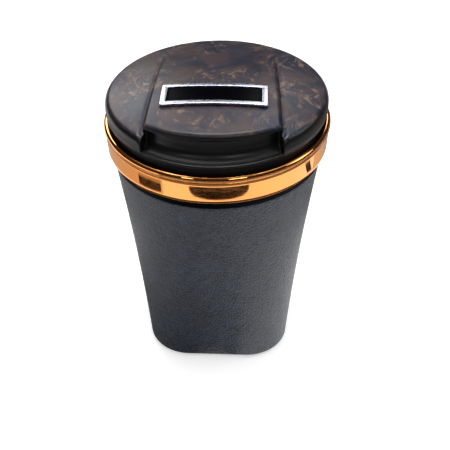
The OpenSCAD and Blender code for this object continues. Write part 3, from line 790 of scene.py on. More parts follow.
@dataclass(frozen=True)
class Net:
    """Skins a solid that is given by its distance, with corners on its true surface."""

    low: tuple[float, float, float]
    high: tuple[float, float, float]
    cell: float
    passes: int = 4
    least_slope: float = 0.05
    farthest_move: float = 0.5
    step: float = 0.02

    def skin(self, distance: Distance) -> tuple[Points, np.ndarray]:
        """Makes the mesh.

        Args:
            distance: Signed distance at points, below 0 inside.

        Returns:
            Points and quads.
        """
        axes = [np.arange(a, b + self.cell, self.cell) for a, b in zip(self.low, self.high)]
        shape = [len(a) for a in axes]
        grid = np.stack(np.meshgrid(*axes, indexing="ij"), -1)
        value = distance(grid.reshape(-1, 3)).reshape(shape)
        inside = value < 0
        total = np.zeros([n - 1 for n in shape] + [3])
        count = np.zeros([n - 1 for n in shape])
        crossings = []
        for axis in range(3):
            ahead, behind = [slice(None)] * 3, [slice(None)] * 3
            ahead[axis], behind[axis] = slice(1, None), slice(None, -1)
            ahead, behind = tuple(ahead), tuple(behind)
            cross = inside[behind] != inside[ahead]
            crossings.append((cross, inside[behind]))
            fall = np.where(cross, value[behind] - value[ahead], 1.0)
            spot = grid[behind].copy()
            spot[..., axis] += np.where(cross, value[behind] / fall, 0.0) * self.cell
            others = [a for a in range(3) if a != axis]
            for offsets in ((0, 0), (0, 1), (1, 0), (1, 1)):
                window = [slice(None)] * 3
                for other, offset in zip(others, offsets):
                    window[other] = slice(offset, shape[other] - 1 + offset)
                hit = cross[tuple(window)]
                total[hit] += spot[tuple(window)][hit]
                count[hit] += 1
        active = count > 0
        number = np.full(active.shape, -1)
        number[active] = np.arange(int(active.sum()))
        points = total[active] / count[active][:, None]
        quads = [self._quads(axis, *crossing, number) for axis, crossing in enumerate(crossings)]
        return self._settle(points, distance), np.concatenate(quads)

    @staticmethod
    def _quads(axis: int, cross: np.ndarray, starts_inside: np.ndarray, number: np.ndarray) -> np.ndarray:
        """Makes the quads round the grid's edges along one axis.

        Args:
            axis: The axis.
            cross: Whether each edge crosses the surface.
            starts_inside: Whether each edge starts inside.
            number: Number of each cell's corner.

        Returns:
            The quads.
        """
        u, v = (axis + 1) % 3, (axis + 2) % 3
        spots = np.argwhere(cross)
        keep = (spots[:, u] > 0) & (spots[:, v] > 0)
        keep &= (spots[:, u] < number.shape[u]) & (spots[:, v] < number.shape[v])
        spots = spots[keep]
        corners = []
        for du, dv in ((-1, -1), (0, -1), (0, 0), (-1, 0)):
            at = spots.copy()
            at[:, u] += du
            at[:, v] += dv
            corners.append(number[tuple(at.T)])
        quad = np.stack(corners, -1)
        return np.where(starts_inside[tuple(spots.T)][:, None], quad, quad[:, ::-1])

    def _settle(self, points: Points, distance: Distance) -> Points:
        """Moves points onto the surface along the distance's slope.

        Args:
            points: The points.
            distance: Signed distance at points.

        Returns:
            The moved points.
        """
        limit = self.farthest_move * self.cell
        for _ in range(self.passes):
            slope = self.slope(points, distance)
            size = np.maximum((slope ** 2).sum(-1, keepdims=True), self.least_slope)
            points = points - np.clip(distance(points)[:, None] * slope / size, -limit, limit)
        return points

    def slope(self, points: Points, distance: Distance) -> Points:
        """Gradient of a distance.

        Args:
            points: Where it is taken.
            distance: Signed distance at points.

        Returns:
            The gradient at each point.
        """
        offsets = np.eye(3) * self.step
        sides = [(distance(points + o) - distance(points - o)) / (2 * self.step) for o in offsets]
        return np.stack(sides, -1)


# Shapes by nodes


class ShapeTree:
    """A geometry node tree, with the value of each of its inputs."""

    KINDS = {
        float: "NodeSocketFloat",
        int: "NodeSocketInt",
        bpy.types.Material: "NodeSocketMaterial",
    }

    def __init__(self, name: str, values: dict[str, object]) -> None:
        """Starts the tree.

        Args:
            name: The tree's name.
            values: Value of each input beside the geometry, with one named Material.
        """
        tree = bpy.data.node_groups.new(name, "GeometryNodeTree")
        for way in ("INPUT", "OUTPUT"):
            tree.interface.new_socket(name="Geometry", in_out=way, socket_type="NodeSocketGeometry")
        self.values = {}
        for key, value in values.items():
            kind = self.KINDS[type(value)]
            socket = tree.interface.new_socket(name=key, in_out="INPUT", socket_type=kind)
            self.values[socket.identifier] = value
        self.graph = Graph(tree)
        source = self.graph.add("NodeGroupInput")
        self.given = {s.name: Term(self.graph, s) for s in source.outputs}

    def end(self, geometry: bpy.types.NodeSocket) -> None:
        """Ends the tree in real faces with their material.

        Args:
            geometry: What the tree has made.
        """
        add = self.graph.add
        real = add("GeometryNodeRealizeInstances", {"Geometry": geometry}).outputs[0]
        values = {"Geometry": real, "Material": self.given["Material"]}
        add("NodeGroupOutput", {0: add("GeometryNodeSetMaterial", values).outputs[0]})

    def put_on(self, piece: bpy.types.Object) -> None:
        """Gives a piece the tree as a modifier.

        Args:
            piece: The piece.
        """
        modifier = piece.modifiers.new("shape", "NODES")
        modifier.node_group = self.graph.tree
        for key, value in self.values.items():
            modifier[key] = value


# Cup


@dataclass
class Cup:
    """The leather sleeve and the stitches of its seam."""

    base_half: float = 29.7
    base_corner: float = 17.4
    top_r: float = 40.4
    bow: float = 0.9
    floor_z: float = 1.0
    body_h: float = 88.9
    skin: float = 1.2
    edge_r: float = 1.1
    seam_depth: float = 0.55
    seam_half: float = 0.7
    stitch_step: float = 3.4
    stitch_share: float = 0.68
    stitch_r: float = 0.27
    stitch_off: float = 2.0
    stitch_proud: float = 0.05
    stitch_margin: float = 4.0
    line_points: int = 24
    bead_sides: int = 10
    bead_rings: int = 8
    sides: int = 288
    rows: int = 104
    crowding: float = 0.7
    weld: float = 0.01

    def half(self, z: float) -> float:
        """Returns the half width of the body at a height."""
        t = (z - self.floor_z) / self.body_h
        return self.base_half + (self.top_r - self.base_half) * t - 4 * self.bow * t * (1 - t)

    def build(self, palette: Palette) -> None:
        """Makes and seats the cup's own pieces.

        Args:
            palette: The materials.
        """
        low, high = (corner.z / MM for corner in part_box("leather_sleeve"))
        sleeve = self._sleeve(low, high, palette)
        seat(sleeve, Part.CUP, "leather", "leather_sleeve")
        seat(self._stitches(low, high, palette), Part.CUP, "leather")

    def _sleeve(self, low: float, high: float, palette: Palette) -> bpy.types.Object:
        """Leather skin: a grid bent round the body by its rule, then given its thickness.

        Args:
            low: Height of its lower edge.
            high: Height of its upper edge.
            palette: The materials.

        Returns:
            The piece.
        """
        shape = ShapeTree("sleeve_shape", {
            "Base Half": self.base_half,
            "Base Corner": self.base_corner,
            "Top Radius": self.top_r,
            "Bow": self.bow,
            "Body Bottom": self.floor_z,
            "Body Height": self.body_h,
            "Low": low,
            "High": high,
            "Edge Radius": self.edge_r,
            "Seam Depth": self.seam_depth,
            "Seam Half Width": self.seam_half,
            "Sides": self.sides,
            "Rows": self.rows,
            "Material": palette["leather"],
        })
        g, given = shape.graph, shape.given
        at = g.add("ShaderNodeSeparateXYZ", {0: g.add("GeometryNodeInputPosition").outputs[0]})
        across, along = (Term(g, at.outputs[k]) for k in (0, 1))
        # The grid's two ends meet at the back, where the seam is.
        turn = across * (2 * math.pi) + 1.5 * math.pi
        run = along + 0.5
        rise = run * (run * self.crowding + (1 - self.crowding))
        z = rise * (given["High"] - given["Low"]) + given["Low"]
        t = (z - given["Body Bottom"]) / given["Body Height"]
        sag = t * (1 - t) * (given["Bow"] * 4)
        seam_arc = (0.5 - abs(across)) * (2 * math.pi) * given["Base Half"]
        dip = (1 - seam_arc / given["Seam Half Width"]).at_least(0.0)
        edge = (1 - (z - given["Low"]) / given["Edge Radius"]).at_least(0.0)
        curl = 1 - (1 - edge * edge).root()
        inset = dip * given["Seam Depth"] + curl * given["Edge Radius"]
        half, corner = ((given["Top Radius"] - given[key]) * t + given[key] - sag - inset
                        for key in ("Base Half", "Base Corner"))
        cosine, sine = g.math("COSINE", turn), g.math("SINE", turn)
        sizes = abs(cosine), abs(sine)
        large, small = g.math("MAXIMUM", *sizes), g.math("MINIMUM", *sizes)
        flat = (half - corner).at_least(0.0)
        lean = flat * (large - small)
        bent = flat * (large + small) + (corner * corner - lean * lean).at_least(0.0).root()
        straight = half / large
        on_flat = g.math("LESS_THAN", small / large * half, flat)
        reach = (bent + on_flat * (straight - bent)) * MM
        place = g.joined(reach * cosine, reach * sine, z * MM)
        size = {"Size X": 1.0, "Size Y": 1.0, "Vertices X": given["Sides"] + 1, "Vertices Y": given["Rows"]}
        mesh = g.add("GeometryNodeMeshGrid", size).outputs[0]
        steps = {"SetPosition": {"Position": place}, "MergeByDistance": {"Distance": self.weld * MM},
                 "SetShadeSmooth": {}}
        for kind, values in steps.items():
            mesh = g.add("GeometryNode" + kind, {"Geometry": mesh, **values}).outputs[0]
        shape.end(mesh)
        piece = mesh_piece("sleeve", np.zeros((0, 3)), [], palette["leather"])
        shape.put_on(piece)
        thick = piece.modifiers.new("skin", "SOLIDIFY")
        thick.thickness = self.skin * MM
        thick.offset = -1.0
        plain_mesh(piece)
        return piece

    def _stitches(self, low: float, high: float, palette: Palette) -> bpy.types.Object:
        """Two rows of stitches beside the seam at the back.

        Args:
            low: Height of the sleeve's lower edge.
            high: Height of its upper edge.
            palette: The materials.

        Returns:
            The piece.
        """
        name = "seam_stitches"
        lines = bpy.data.curves.new(name, "CURVE")
        lines.dimensions = "3D"
        heights = np.linspace(low + self.stitch_margin, high - self.stitch_margin, self.line_points)
        for x in (-self.stitch_off, self.stitch_off):
            line = lines.splines.new("POLY")
            line.points.add(len(heights) - 1)
            for point, z in zip(line.points, heights):
                point.co = (x * MM, (self.half(z) + self.stitch_proud) * MM, z * MM, 1.0)
        shape = ShapeTree("stitch_rows", {
            "Step": self.stitch_step * MM,
            "Length": self.stitch_step * self.stitch_share * MM,
            "Radius": self.stitch_r * MM,
            "Material": palette["seam_thread"],
        })
        g, given = shape.graph, shape.given
        spots = g.add("GeometryNodeCurveToPoints", {"Curve": given["Geometry"], "Length": given["Step"]},
                      mode="LENGTH").outputs
        bead = g.add("GeometryNodeMeshUVSphere",
                     {"Segments": self.bead_sides, "Rings": self.bead_rings, "Radius": 1.0}).outputs[0]
        size = g.joined(given["Radius"], given["Radius"], given["Length"] * 0.5)
        rows = {"Points": spots["Points"], "Instance": bead, "Rotation": spots["Rotation"], "Scale": size}
        shape.end(g.add("GeometryNodeInstanceOnPoints", rows).outputs[0])
        path = new_object(name, lines)
        shape.put_on(path)
        mesh = baked(path)
        bpy.data.objects.remove(path)
        mesh.polygons.foreach_set("use_smooth", [True] * len(mesh.polygons))
        return new_object(name, mesh)


# Head


@dataclass
class Head:
    """The plated ring: a flared band with a bead on top."""

    bead_r: float = 1.35
    bead_set: float = 1.0
    bead_rise: float = 0.9
    bead_start: float = -60.0
    bead_steps: int = 36
    band_flare: float = 0.5
    band_t: float = 1.75
    band_steps: int = 6
    groove_depth: float = 0.4
    groove_rises: tuple[float, float] = (0.05, 0.12)
    inner_rise: float = 0.2
    edge_r: float = 0.25
    edge_end: float = 80.0
    edge_steps: int = 5
    sides: int = 360

    def build(self, palette: Palette) -> None:
        """Makes and seats the plated ring.

        Args:
            palette: The materials.
        """
        low, high = (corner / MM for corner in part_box("collar_ring"))
        bead_x, bead_z = high.x - self.bead_r, high.z - self.bead_r
        band_top = bead_x + self.bead_set
        band_low = band_top - self.band_flare
        inner = band_low - self.band_t
        band_z = bead_z - self.bead_rise
        bead_end = 180 - math.degrees(math.acos((bead_x - inner) / self.bead_r))
        e, steps = self.edge_r, self.edge_steps
        profile = [(inner, low.z)]
        profile += arc(band_low - e, low.z + e, e, -90, 0, steps)
        profile += zip(*(np.linspace(a, b, self.band_steps + 1)[1:-1]
                         for a, b in ((band_low, band_top), (low.z, band_z))))
        profile += arc(band_top - e, band_z - e, e, 0, self.edge_end, steps)
        profile += [(band_top - self.groove_depth, band_z + rise) for rise in self.groove_rises]
        profile += arc(bead_x, bead_z, self.bead_r, self.bead_start, bead_end, self.bead_steps)
        profile += [(inner, bead_z + self.inner_rise)]
        ring = mesh_piece("plated_ring", *turned(profile, self.sides), palette["copper_plate"])
        seat(ring, Part.HEAD, "copper_plate", "collar_ring")


# Lid


@dataclass
class LidCover:
    """The lid's moulded cover, as one rounded solid with its panel, creases and scoop."""

    FILM = "film"

    overhang_r: float = 41.3
    wide_r: float = 41.8
    wide_h: float = 2.8
    lean: float = 0.1
    lean_h: float = 3.0
    shoulder_r: float = 2.1
    crown_h: float = 11.0
    crown_r: float = 205.0
    top_t: float = 2.0
    side_t: float = 2.0
    foot_edge_r: float = 0.25
    crease_y: float = 25.0
    crease_half: float = 22.2
    crease_deg: float = 2.4
    crease_end_r: float = 0.2
    panel_tilt: float = 2.8
    panel_seam_r: float = 0.15
    lip_arc_r: float = 43.0
    lip_y: float = 36.9
    lip_z: float = 8.4
    lip_corner_r: float = 1.2
    lip_edge_r: float = 1.6
    under_r: float = 0.3
    under_edge_r: float = 0.35
    groove_tilt: float = 0.8
    groove_spread: float = 2.0
    groove_soft: float = 0.12
    groove_start: float = 0.15
    scoop_r: float = 36.4
    scoop_fillet: float = 4.0
    scoop_rim: float = 1.2
    scoop_half: float = 23.4
    scoop_slant: float = 15.0
    scoop_edge_r: float = 0.5
    cheek_r: float = 0.7
    film_r: float = 40.9
    film_fade: float = 0.5
    film_slope: tuple[float, float] = (0.35, 0.4)
    film_rise: tuple[float, float] = (5.2, 1.2)
    hinge_half: float = 13.7
    hinge_r: float = 3.5
    slot_half: float = 8.3
    slot_rise: float = 3.7
    slot_depth: float = 8.0
    cell: float = 0.42
    margins: tuple[float, float, float] = (1.1, 1.0, 3.0)

    def __post_init__(self) -> None:
        """Takes the lid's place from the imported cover, and the hinge's from its joint."""
        self.low_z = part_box("lid_cover")[0].z / MM
        self.sphere_z = self.low_z + self.crown_h - self.crown_r
        self.pivot_z = self.sphere_z + math.sqrt(self.crown_r ** 2 - self.crease_y ** 2)
        hinge = next(j for j in frame["joints"] if j["name"] == "lid_hinge")
        self.hinge_y, self.hinge_z = hinge["pos_m"][1] / MM, hinge["pos_m"][2] / MM

    def crown(self, p: Points, lower: float = 0.0) -> np.ndarray:
        """Returns the distance to the crown's ball, or to one with a radius lower by so much."""
        away = (p ** 2).sum(-1) - p[:, 2] ** 2 + (p[:, 2] - self.sphere_z) ** 2
        return np.sqrt(away) - (self.crown_r - lower)

    def panel_centre(self) -> tuple[float, float]:
        """Centre of the tilted panel's ball.

        Returns:
            How far back and how high it is.
        """
        tilt = math.radians(self.panel_tilt)
        y, z = -self.crease_y, self.sphere_z - self.pivot_z
        return (self.crease_y + y * math.cos(tilt) + z * math.sin(tilt),
                self.pivot_z - y * math.sin(tilt) + z * math.cos(tilt))

    def tilted(self, p: Points) -> Points:
        """Turns points back by the tilt of the centre panel.

        Args:
            p: The points.

        Returns:
            The points, as the untilted panel would see them.
        """
        tilt = math.radians(self.panel_tilt)
        y, z = p[:, 1] - self.crease_y, p[:, 2] - self.pivot_z
        return np.stack([p[:, 0], y * math.cos(tilt) - z * math.sin(tilt) + self.crease_y,
                         y * math.sin(tilt) + z * math.cos(tilt) + self.pivot_z], -1)

    def beyond_crease(self, p: Points) -> np.ndarray:
        """Distance outside the crease line, on either side.

        Args:
            p: The points.

        Returns:
            The distances.
        """
        turn = math.radians(self.crease_deg)
        crease = self.crease_half + (self.crease_y - p[:, 1]) * math.tan(turn)
        return (np.abs(p[:, 0]) - crease) * math.cos(turn)

    def scoop(self, p: Points) -> np.ndarray:
        """Distance to the finger scoop's hollow.

        Args:
            p: The points.

        Returns:
            The distances.
        """
        r = np.hypot(p[:, 0], p[:, 1])
        hollow = round_and(self.scoop_r - r, self.low_z + self.scoop_rim - p[:, 2], self.scoop_fillet)
        corner_y = -math.sqrt(self.scoop_r ** 2 - self.scoop_half ** 2)
        slant = math.radians(self.scoop_slant)
        half = self.scoop_half + np.maximum(corner_y - p[:, 1], 0) * math.tan(slant)
        cheek = (np.abs(p[:, 0]) - half) * math.cos(slant)
        return np.maximum(round_and(hollow, cheek, self.cheek_r), p[:, 1])

    def side(self, p: Points) -> np.ndarray:
        """Distance to the lid's side.

        Args:
            p: The points.

        Returns:
            The distances.
        """
        up = ramp(p[:, 2], self.low_z, self.wide_h)
        lean = self.lean * ramp(p[:, 2] - self.low_z, self.wide_h, self.lean_h)
        radius = self.overhang_r + (self.wide_r - self.overhang_r) * up * (2 - up) - lean
        return np.hypot(p[:, 0], p[:, 1]) - radius

    def distance(self, p: Points) -> np.ndarray:
        """Distance to the cover.

        Args:
            p: The points.

        Returns:
            The distances.
        """
        z = p[:, 2]
        q = self.beyond_crease(p)
        depth = np.maximum(self.crease_y - p[:, 1], 0) * math.tan(math.radians(self.groove_tilt))
        drop = depth - np.abs(q) / self.groove_spread
        sunk = 0.5 * (drop + np.hypot(drop, self.groove_soft)) * ramp(depth, 0, self.groove_start)
        scoop = self.scoop(p)
        body = round_and(self.crown(p) + sunk, self.side(p), self.shoulder_r)
        body = round_and(body, self.low_z - z, self.foot_edge_r)
        body = round_and(body, -scoop, self.scoop_edge_r)
        front = np.hypot(p[:, 0], p[:, 1] - (self.lip_arc_r - self.lip_y)) - self.lip_arc_r
        plan = round_and(q, front, self.lip_corner_r)
        plan = round_and(plan, p[:, 1] - self.crease_y, self.crease_end_r)
        panel = round_and(self.crown(self.tilted(p)), plan, self.lip_edge_r)
        panel = np.maximum(panel, self.low_z + self.wide_h - z)
        under = round_and(scoop, z - self.low_z - self.lip_z, self.under_r)
        panel = round_and(panel, -under, self.under_edge_r)
        solid = round_or(body, panel, self.panel_seam_r)
        return np.maximum(solid, -np.minimum(self.cavity(p), self.hinge_space(p)))

    def cavity(self, p: Points) -> np.ndarray:
        """Distance to the space inside the cover.

        Args:
            p: The points.

        Returns:
            The distances.
        """
        r = np.hypot(p[:, 0], p[:, 1])
        front = np.minimum(r - (self.scoop_r - self.side_t), -self.scoop_half / 2 - p[:, 1])
        return np.maximum(np.maximum(r - (self.overhang_r - self.side_t), front), self.crown(p, self.top_t))

    def hinge_space(self, p: Points) -> np.ndarray:
        """Distance to the room left for the hinge.

        Args:
            p: The points.

        Returns:
            The distances.
        """
        x, z = np.abs(p[:, 0]), p[:, 2]
        barrel = np.hypot(p[:, 1] - self.hinge_y, z - self.hinge_z) - self.hinge_r
        slot = np.maximum(x - self.slot_half, np.abs(z - self.low_z) - self.slot_rise)
        slot = np.maximum(slot, self.overhang_r - self.side_t - self.slot_depth - p[:, 1])
        return np.minimum(np.maximum(barrel, x - self.hinge_half), slot)

    def film(self, points: Points, slope: Points) -> np.ndarray:
        """How far the burl film covers each point: on top, short of the lid's edge.

        Args:
            points: The points.
            slope: The surface's direction at each.

        Returns:
            The cover, from 0 to 1.
        """
        up = slope[:, 2] / np.maximum(np.linalg.norm(slope, axis=-1), TINY)
        rim = self.film_r - np.hypot(points[:, 0], points[:, 1])
        raised = ramp(points[:, 2] - self.low_z, *self.film_rise)
        return ramp(up, *self.film_slope) * raised * ramp(rim, 0, self.film_fade)

    def build(self, palette: Palette) -> None:
        """Makes and seats the cover.

        Args:
            palette: The materials.
        """
        beside, below, above = self.margins
        reach = self.wide_r + beside
        top = self.low_z + self.crown_h + above
        net = Net((-reach, -reach, self.low_z - below), (reach, reach, top), self.cell)
        points, quads = net.skin(self.distance)
        cover = mesh_piece("lid_shell", points, quads, palette["burl_lid"])
        mark_points(cover, self.FILM, self.film(points, net.slope(points, self.distance)))
        seat(cover, Part.LID, "burl_lid", "lid_cover")


@dataclass
class Badge:
    """The plain framed plate on the centre panel."""

    cover: LidCover
    length: float = 38.6
    width: float = 13.9
    border: float = 2.2
    corner: float = 0.8
    inner_corner: float = 0.3
    rise: float = 1.2
    sink: float = 0.4
    gap: float = 0.05
    y: float = 12.8
    edge_r: float = 0.3
    edge_steps: int = 4
    corner_steps: int = 8
    side_steps: int = 30
    columns: int = 41
    rows: int = 15

    def place(self, x: np.ndarray, y: np.ndarray, above: float) -> Points:
        """Points of the panel's crown, or of a surface that follows it.

        Args:
            x: Distances to the right.
            y: Distances to the back.
            above: Height above the crown.

        Returns:
            The points.
        """
        y0, z0 = self.cover.panel_centre()
        reach = (self.cover.crown_r + above) ** 2
        return np.stack([x, y, z0 + np.sqrt(reach - x ** 2 - (y - y0) ** 2)], -1)

    def ring(self, inset: float, above: float) -> Points:
        """Rounded outline of the plate, counter-clockwise.

        Args:
            inset: How far it is set in.
            above: Height above the crown.

        Returns:
            The points.
        """
        r = self.corner + (self.inner_corner - self.corner) * min(inset / self.border, 1.0)
        a, b = self.length / 2 - inset - r, self.width / 2 - inset - r
        corners = []
        for k, (sx, sy) in enumerate(((1, 1), (-1, 1), (-1, -1), (1, -1))):
            turns = np.radians(np.linspace(90 * k, 90 * k + 90, self.corner_steps + 1))
            corners.append(np.stack([sx * a + r * np.cos(turns), sy * b + r * np.sin(turns) - self.y], -1))
        line = []
        for here, there in zip(corners, corners[1:] + corners[:1]):
            line += [here, np.linspace(here[-1], there[0], self.side_steps + 1)[1:-1]]
        x, y = np.concatenate(line).T
        return self.place(x, y, above)

    def frame_mesh(self) -> Solid:
        """Points and faces of the bright frame.

        Returns:
            Points and faces.
        """
        e = self.edge_r
        corner = arc(0, 0, e, 0, 90, self.edge_steps)
        profile = [(0.0, self.gap), (0.0, self.rise - 2 * e)]
        profile += [(e - x, self.rise - e + z) for x, z in corner]
        profile += [(self.border - e + x, self.rise - e + z) for x, z in reversed(corner)]
        profile += [(self.border, self.rise - 2 * e), (self.border, self.gap)]
        return ring_solid(np.stack([self.ring(*step) for step in profile], 1))

    def plate_mesh(self) -> Solid:
        """Points and faces of the black field.

        Returns:
            Points and faces.
        """
        inset = self.border + self.gap
        a, b = self.length / 2 - inset, self.width / 2 - inset
        nx, ny = self.columns, self.rows
        spots = np.meshgrid(np.linspace(-a, a, nx), np.linspace(-b, b, ny) - self.y, indexing="ij")
        x, y = (spot.ravel() for spot in spots)
        points = np.concatenate([self.place(x, y, self.rise - self.sink), self.place(x, y, self.gap)])
        low = nx * ny
        faces = []
        for i in range(nx - 1):
            for k in range(ny - 1):
                quad = [i * ny + k, (i + 1) * ny + k, (i + 1) * ny + k + 1, i * ny + k + 1]
                faces += [quad, [low + n for n in reversed(quad)]]
        edge = [i * ny for i in range(nx)] + [(nx - 1) * ny + k for k in range(1, ny)]
        edge += [i * ny + ny - 1 for i in range(nx - 2, -1, -1)] + list(range(ny - 2, 0, -1))
        faces += [[m, low + m, low + n, n] for n, m in zip(edge, edge[1:] + edge[:1])]
        return points, faces

    def build(self, palette: Palette) -> None:
        """Makes and seats the frame and the field.

        Args:
            palette: The materials.
        """
        border = mesh_piece("badge_border", *self.frame_mesh(), palette["badge_metal"])
        seat(border, Part.LID, "badge_metal", "badge_frame")
        plate = mesh_piece("badge_plate", *self.plate_mesh(), palette["badge_field"])
        seat(plate, Part.LID, "badge_field", "badge_inlay")


# Studio


WARM = (1.0, 0.88, 0.68)
STREAKS_ACROSS = 0.11
STREAKS_ALONG = 0.012


@dataclass(frozen=True)
class Viewpoint:
    """The camera: its place, its turn and its lens."""

    place: tuple[float, float, float] = (15.48, -278.92, 275.65)
    down: float = 40.60
    yaw: float = -5.73
    roll: float = -2.59
    lens: float = 68.04
    sensor: float = 36.0
    shift_x: float = 0.0778
    shift_y: float = 0.0556
    nearest: float = 0.01

    def build(self) -> None:
        """Makes the camera and sets it."""
        e, w, r = (math.radians(a) for a in (self.down, self.yaw, self.roll))
        ahead = Vector((math.sin(w) * math.cos(e), math.cos(w) * math.cos(e), -math.sin(e)))
        right = Vector((math.cos(w), -math.sin(w), 0.0))
        up = right.cross(ahead)
        right, up = math.cos(r) * right + math.sin(r) * up, math.cos(r) * up - math.sin(r) * right
        camera = new_object("camera", bpy.data.cameras.new("camera"))
        camera.data.lens = self.lens
        camera.data.sensor_width = self.sensor
        camera.data.shift_x, camera.data.shift_y = self.shift_x, self.shift_y
        camera.data.clip_start = self.nearest
        turn = Matrix((right, up, -ahead)).transposed().to_4x4()
        camera.matrix_world = Matrix.Translation(Vector(self.place) * MM) @ turn
        bpy.context.scene.camera = camera


@dataclass(frozen=True)
class Softbox:
    """A soft area light, in metres and watts."""

    name: str
    place: tuple[float, float, float]
    width: float
    depth: float
    power: float
    aim: tuple[float, float, float] = (0.0, 0.0, 0.1)

    def build(self) -> None:
        """Makes the light."""
        light = bpy.data.lights.new(self.name, "AREA")
        light.shape = "RECTANGLE"
        light.size, light.size_y = self.width, self.depth
        light.energy = self.power
        lamp = new_object(self.name, light)
        lamp.location = self.place
        lamp.rotation_euler = (Vector(self.aim) - Vector(self.place)).to_track_quat("-Z", "Y").to_euler()


def bare_graph(holder: bpy.types.Material | bpy.types.World) -> Graph:
    """Clears the nodes of a material or a world.

    Args:
        holder: The material or the world.

    Returns:
        Its graph.
    """
    holder.use_nodes = True
    holder.node_tree.nodes.clear()
    return Graph(holder.node_tree)


def stage_piece(name: str, points: Points, faces: Sequence[Sequence[int]], tones: Sequence[float],
                streaks: float = 0.0, tint: tuple[float, float, float] = (1.0, 0.96, 0.98)) -> None:
    """Makes a glowing stage piece that only shiny surfaces see: its glow puts painted light and shade into their
    reflections.

    Args:
        name: Its name.
        points: Corners, in millimetres.
        faces: Corner numbers of each face.
        tones: Radiance at each corner, where 1 is white.
        streaks: Share of the tone that streaks away from the object take.
        tint: Its colour at a tone of 1.
    """
    material = bpy.data.materials.new(name)
    graph = bare_graph(material)
    place = graph.add("ShaderNodeTexCoord").outputs["Object"]
    drawn = graph.stretched(place, (STREAKS_ACROSS / MM, STREAKS_ALONG / MM, 1.0))
    ripple = graph.spread(graph.noise(drawn, 1.0), 0.35, 0.65, 1 - streaks, 1 + streaks)
    tone = ripple * graph.add("ShaderNodeAttribute", attribute_name="tone").outputs["Fac"]
    glow = graph.add("ShaderNodeEmission", {"Color": rgba(*tint), "Strength": tone})
    graph.add("ShaderNodeOutputMaterial", {"Surface": glow.outputs[0]})
    piece = mesh_piece(name, points, faces, material)
    mark_points(piece, "tone", tones)
    piece.visible_camera = False
    piece.visible_diffuse = False
    piece.visible_shadow = False


@dataclass(frozen=True)
class RingCard:
    """A part of a flat ring round the object's axis, level with the floor or above it."""

    name: str
    radii: tuple[float, float]
    turns: tuple[float, float]
    tones: tuple[float, float]
    lift: float = 1.0
    columns: int = 48

    def build(self, view: Viewpoint) -> None:
        """Makes the card.

        Args:
            view: The camera; not used, as a ring doesn't depend on it.
        """
        points = []
        for turn in np.radians(np.linspace(*self.turns, self.columns + 1)):
            points += [[r * math.sin(turn), -r * math.cos(turn), self.lift] for r in self.radii]
        stage_piece(self.name, np.array(points), strip(self.columns), self.tones * (self.columns + 1))


@dataclass(frozen=True)
class FloorCard:
    """A card that lies where the plated band mirrors it, between two turns and two heights of the band."""

    name: str
    turns: tuple[float, float]
    heights: tuple[float, float]
    round_low: float = 1.0
    slant: float = 0.0
    tones: tuple[float, float] = (0.05, 0.05)
    streaks: float = 0.0
    tint: tuple[float, float, float] = (1.0, 0.84, 1.0)
    band_r: float = 42.45
    band_lean: float = 3.2
    lift: float = 3.0
    columns: int = 24

    def mirrored(self, view: Viewpoint, turn: float, height: float) -> np.ndarray:
        """Point of the card that a point of the band mirrors towards the camera.

        Args:
            view: The camera.
            turn: Angle round the band from its front, in degrees.
            height: Height on the band.

        Returns:
            The point.
        """
        a, lean = math.radians(turn), math.radians(self.band_lean)
        out = np.array([math.sin(a), -math.cos(a), 0.0])
        point = out * self.band_r + np.array([0.0, 0.0, height])
        normal = out * math.cos(lean) - np.array([0.0, 0.0, math.sin(lean)])
        ray = point - np.array(view.place)
        ray -= 2 * ray.dot(normal) * normal
        return point + ray * (self.lift - point[2]) / ray[2]

    def build(self, view: Viewpoint) -> None:
        """Makes the card.

        Args:
            view: The camera.
        """
        low, high = self.heights
        points = []
        shares = np.linspace(0, 1, self.columns + 1)
        for share in shares:
            turn = self.turns[0] + (self.turns[1] - self.turns[0]) * share
            bulge = 1 - self.round_low + self.round_low * math.sqrt(max(1 - (2 * share - 1) ** 2, 0.0))
            foot = high - (high - low) * bulge
            points.append(self.mirrored(view, turn + self.slant, high))
            points.append(self.mirrored(view, turn - self.slant, foot))
        tones = np.repeat(self.tones[0] + (self.tones[1] - self.tones[0]) * shares, 2)
        stage_piece(self.name, np.array(points), strip(self.columns), tones, self.streaks, self.tint)


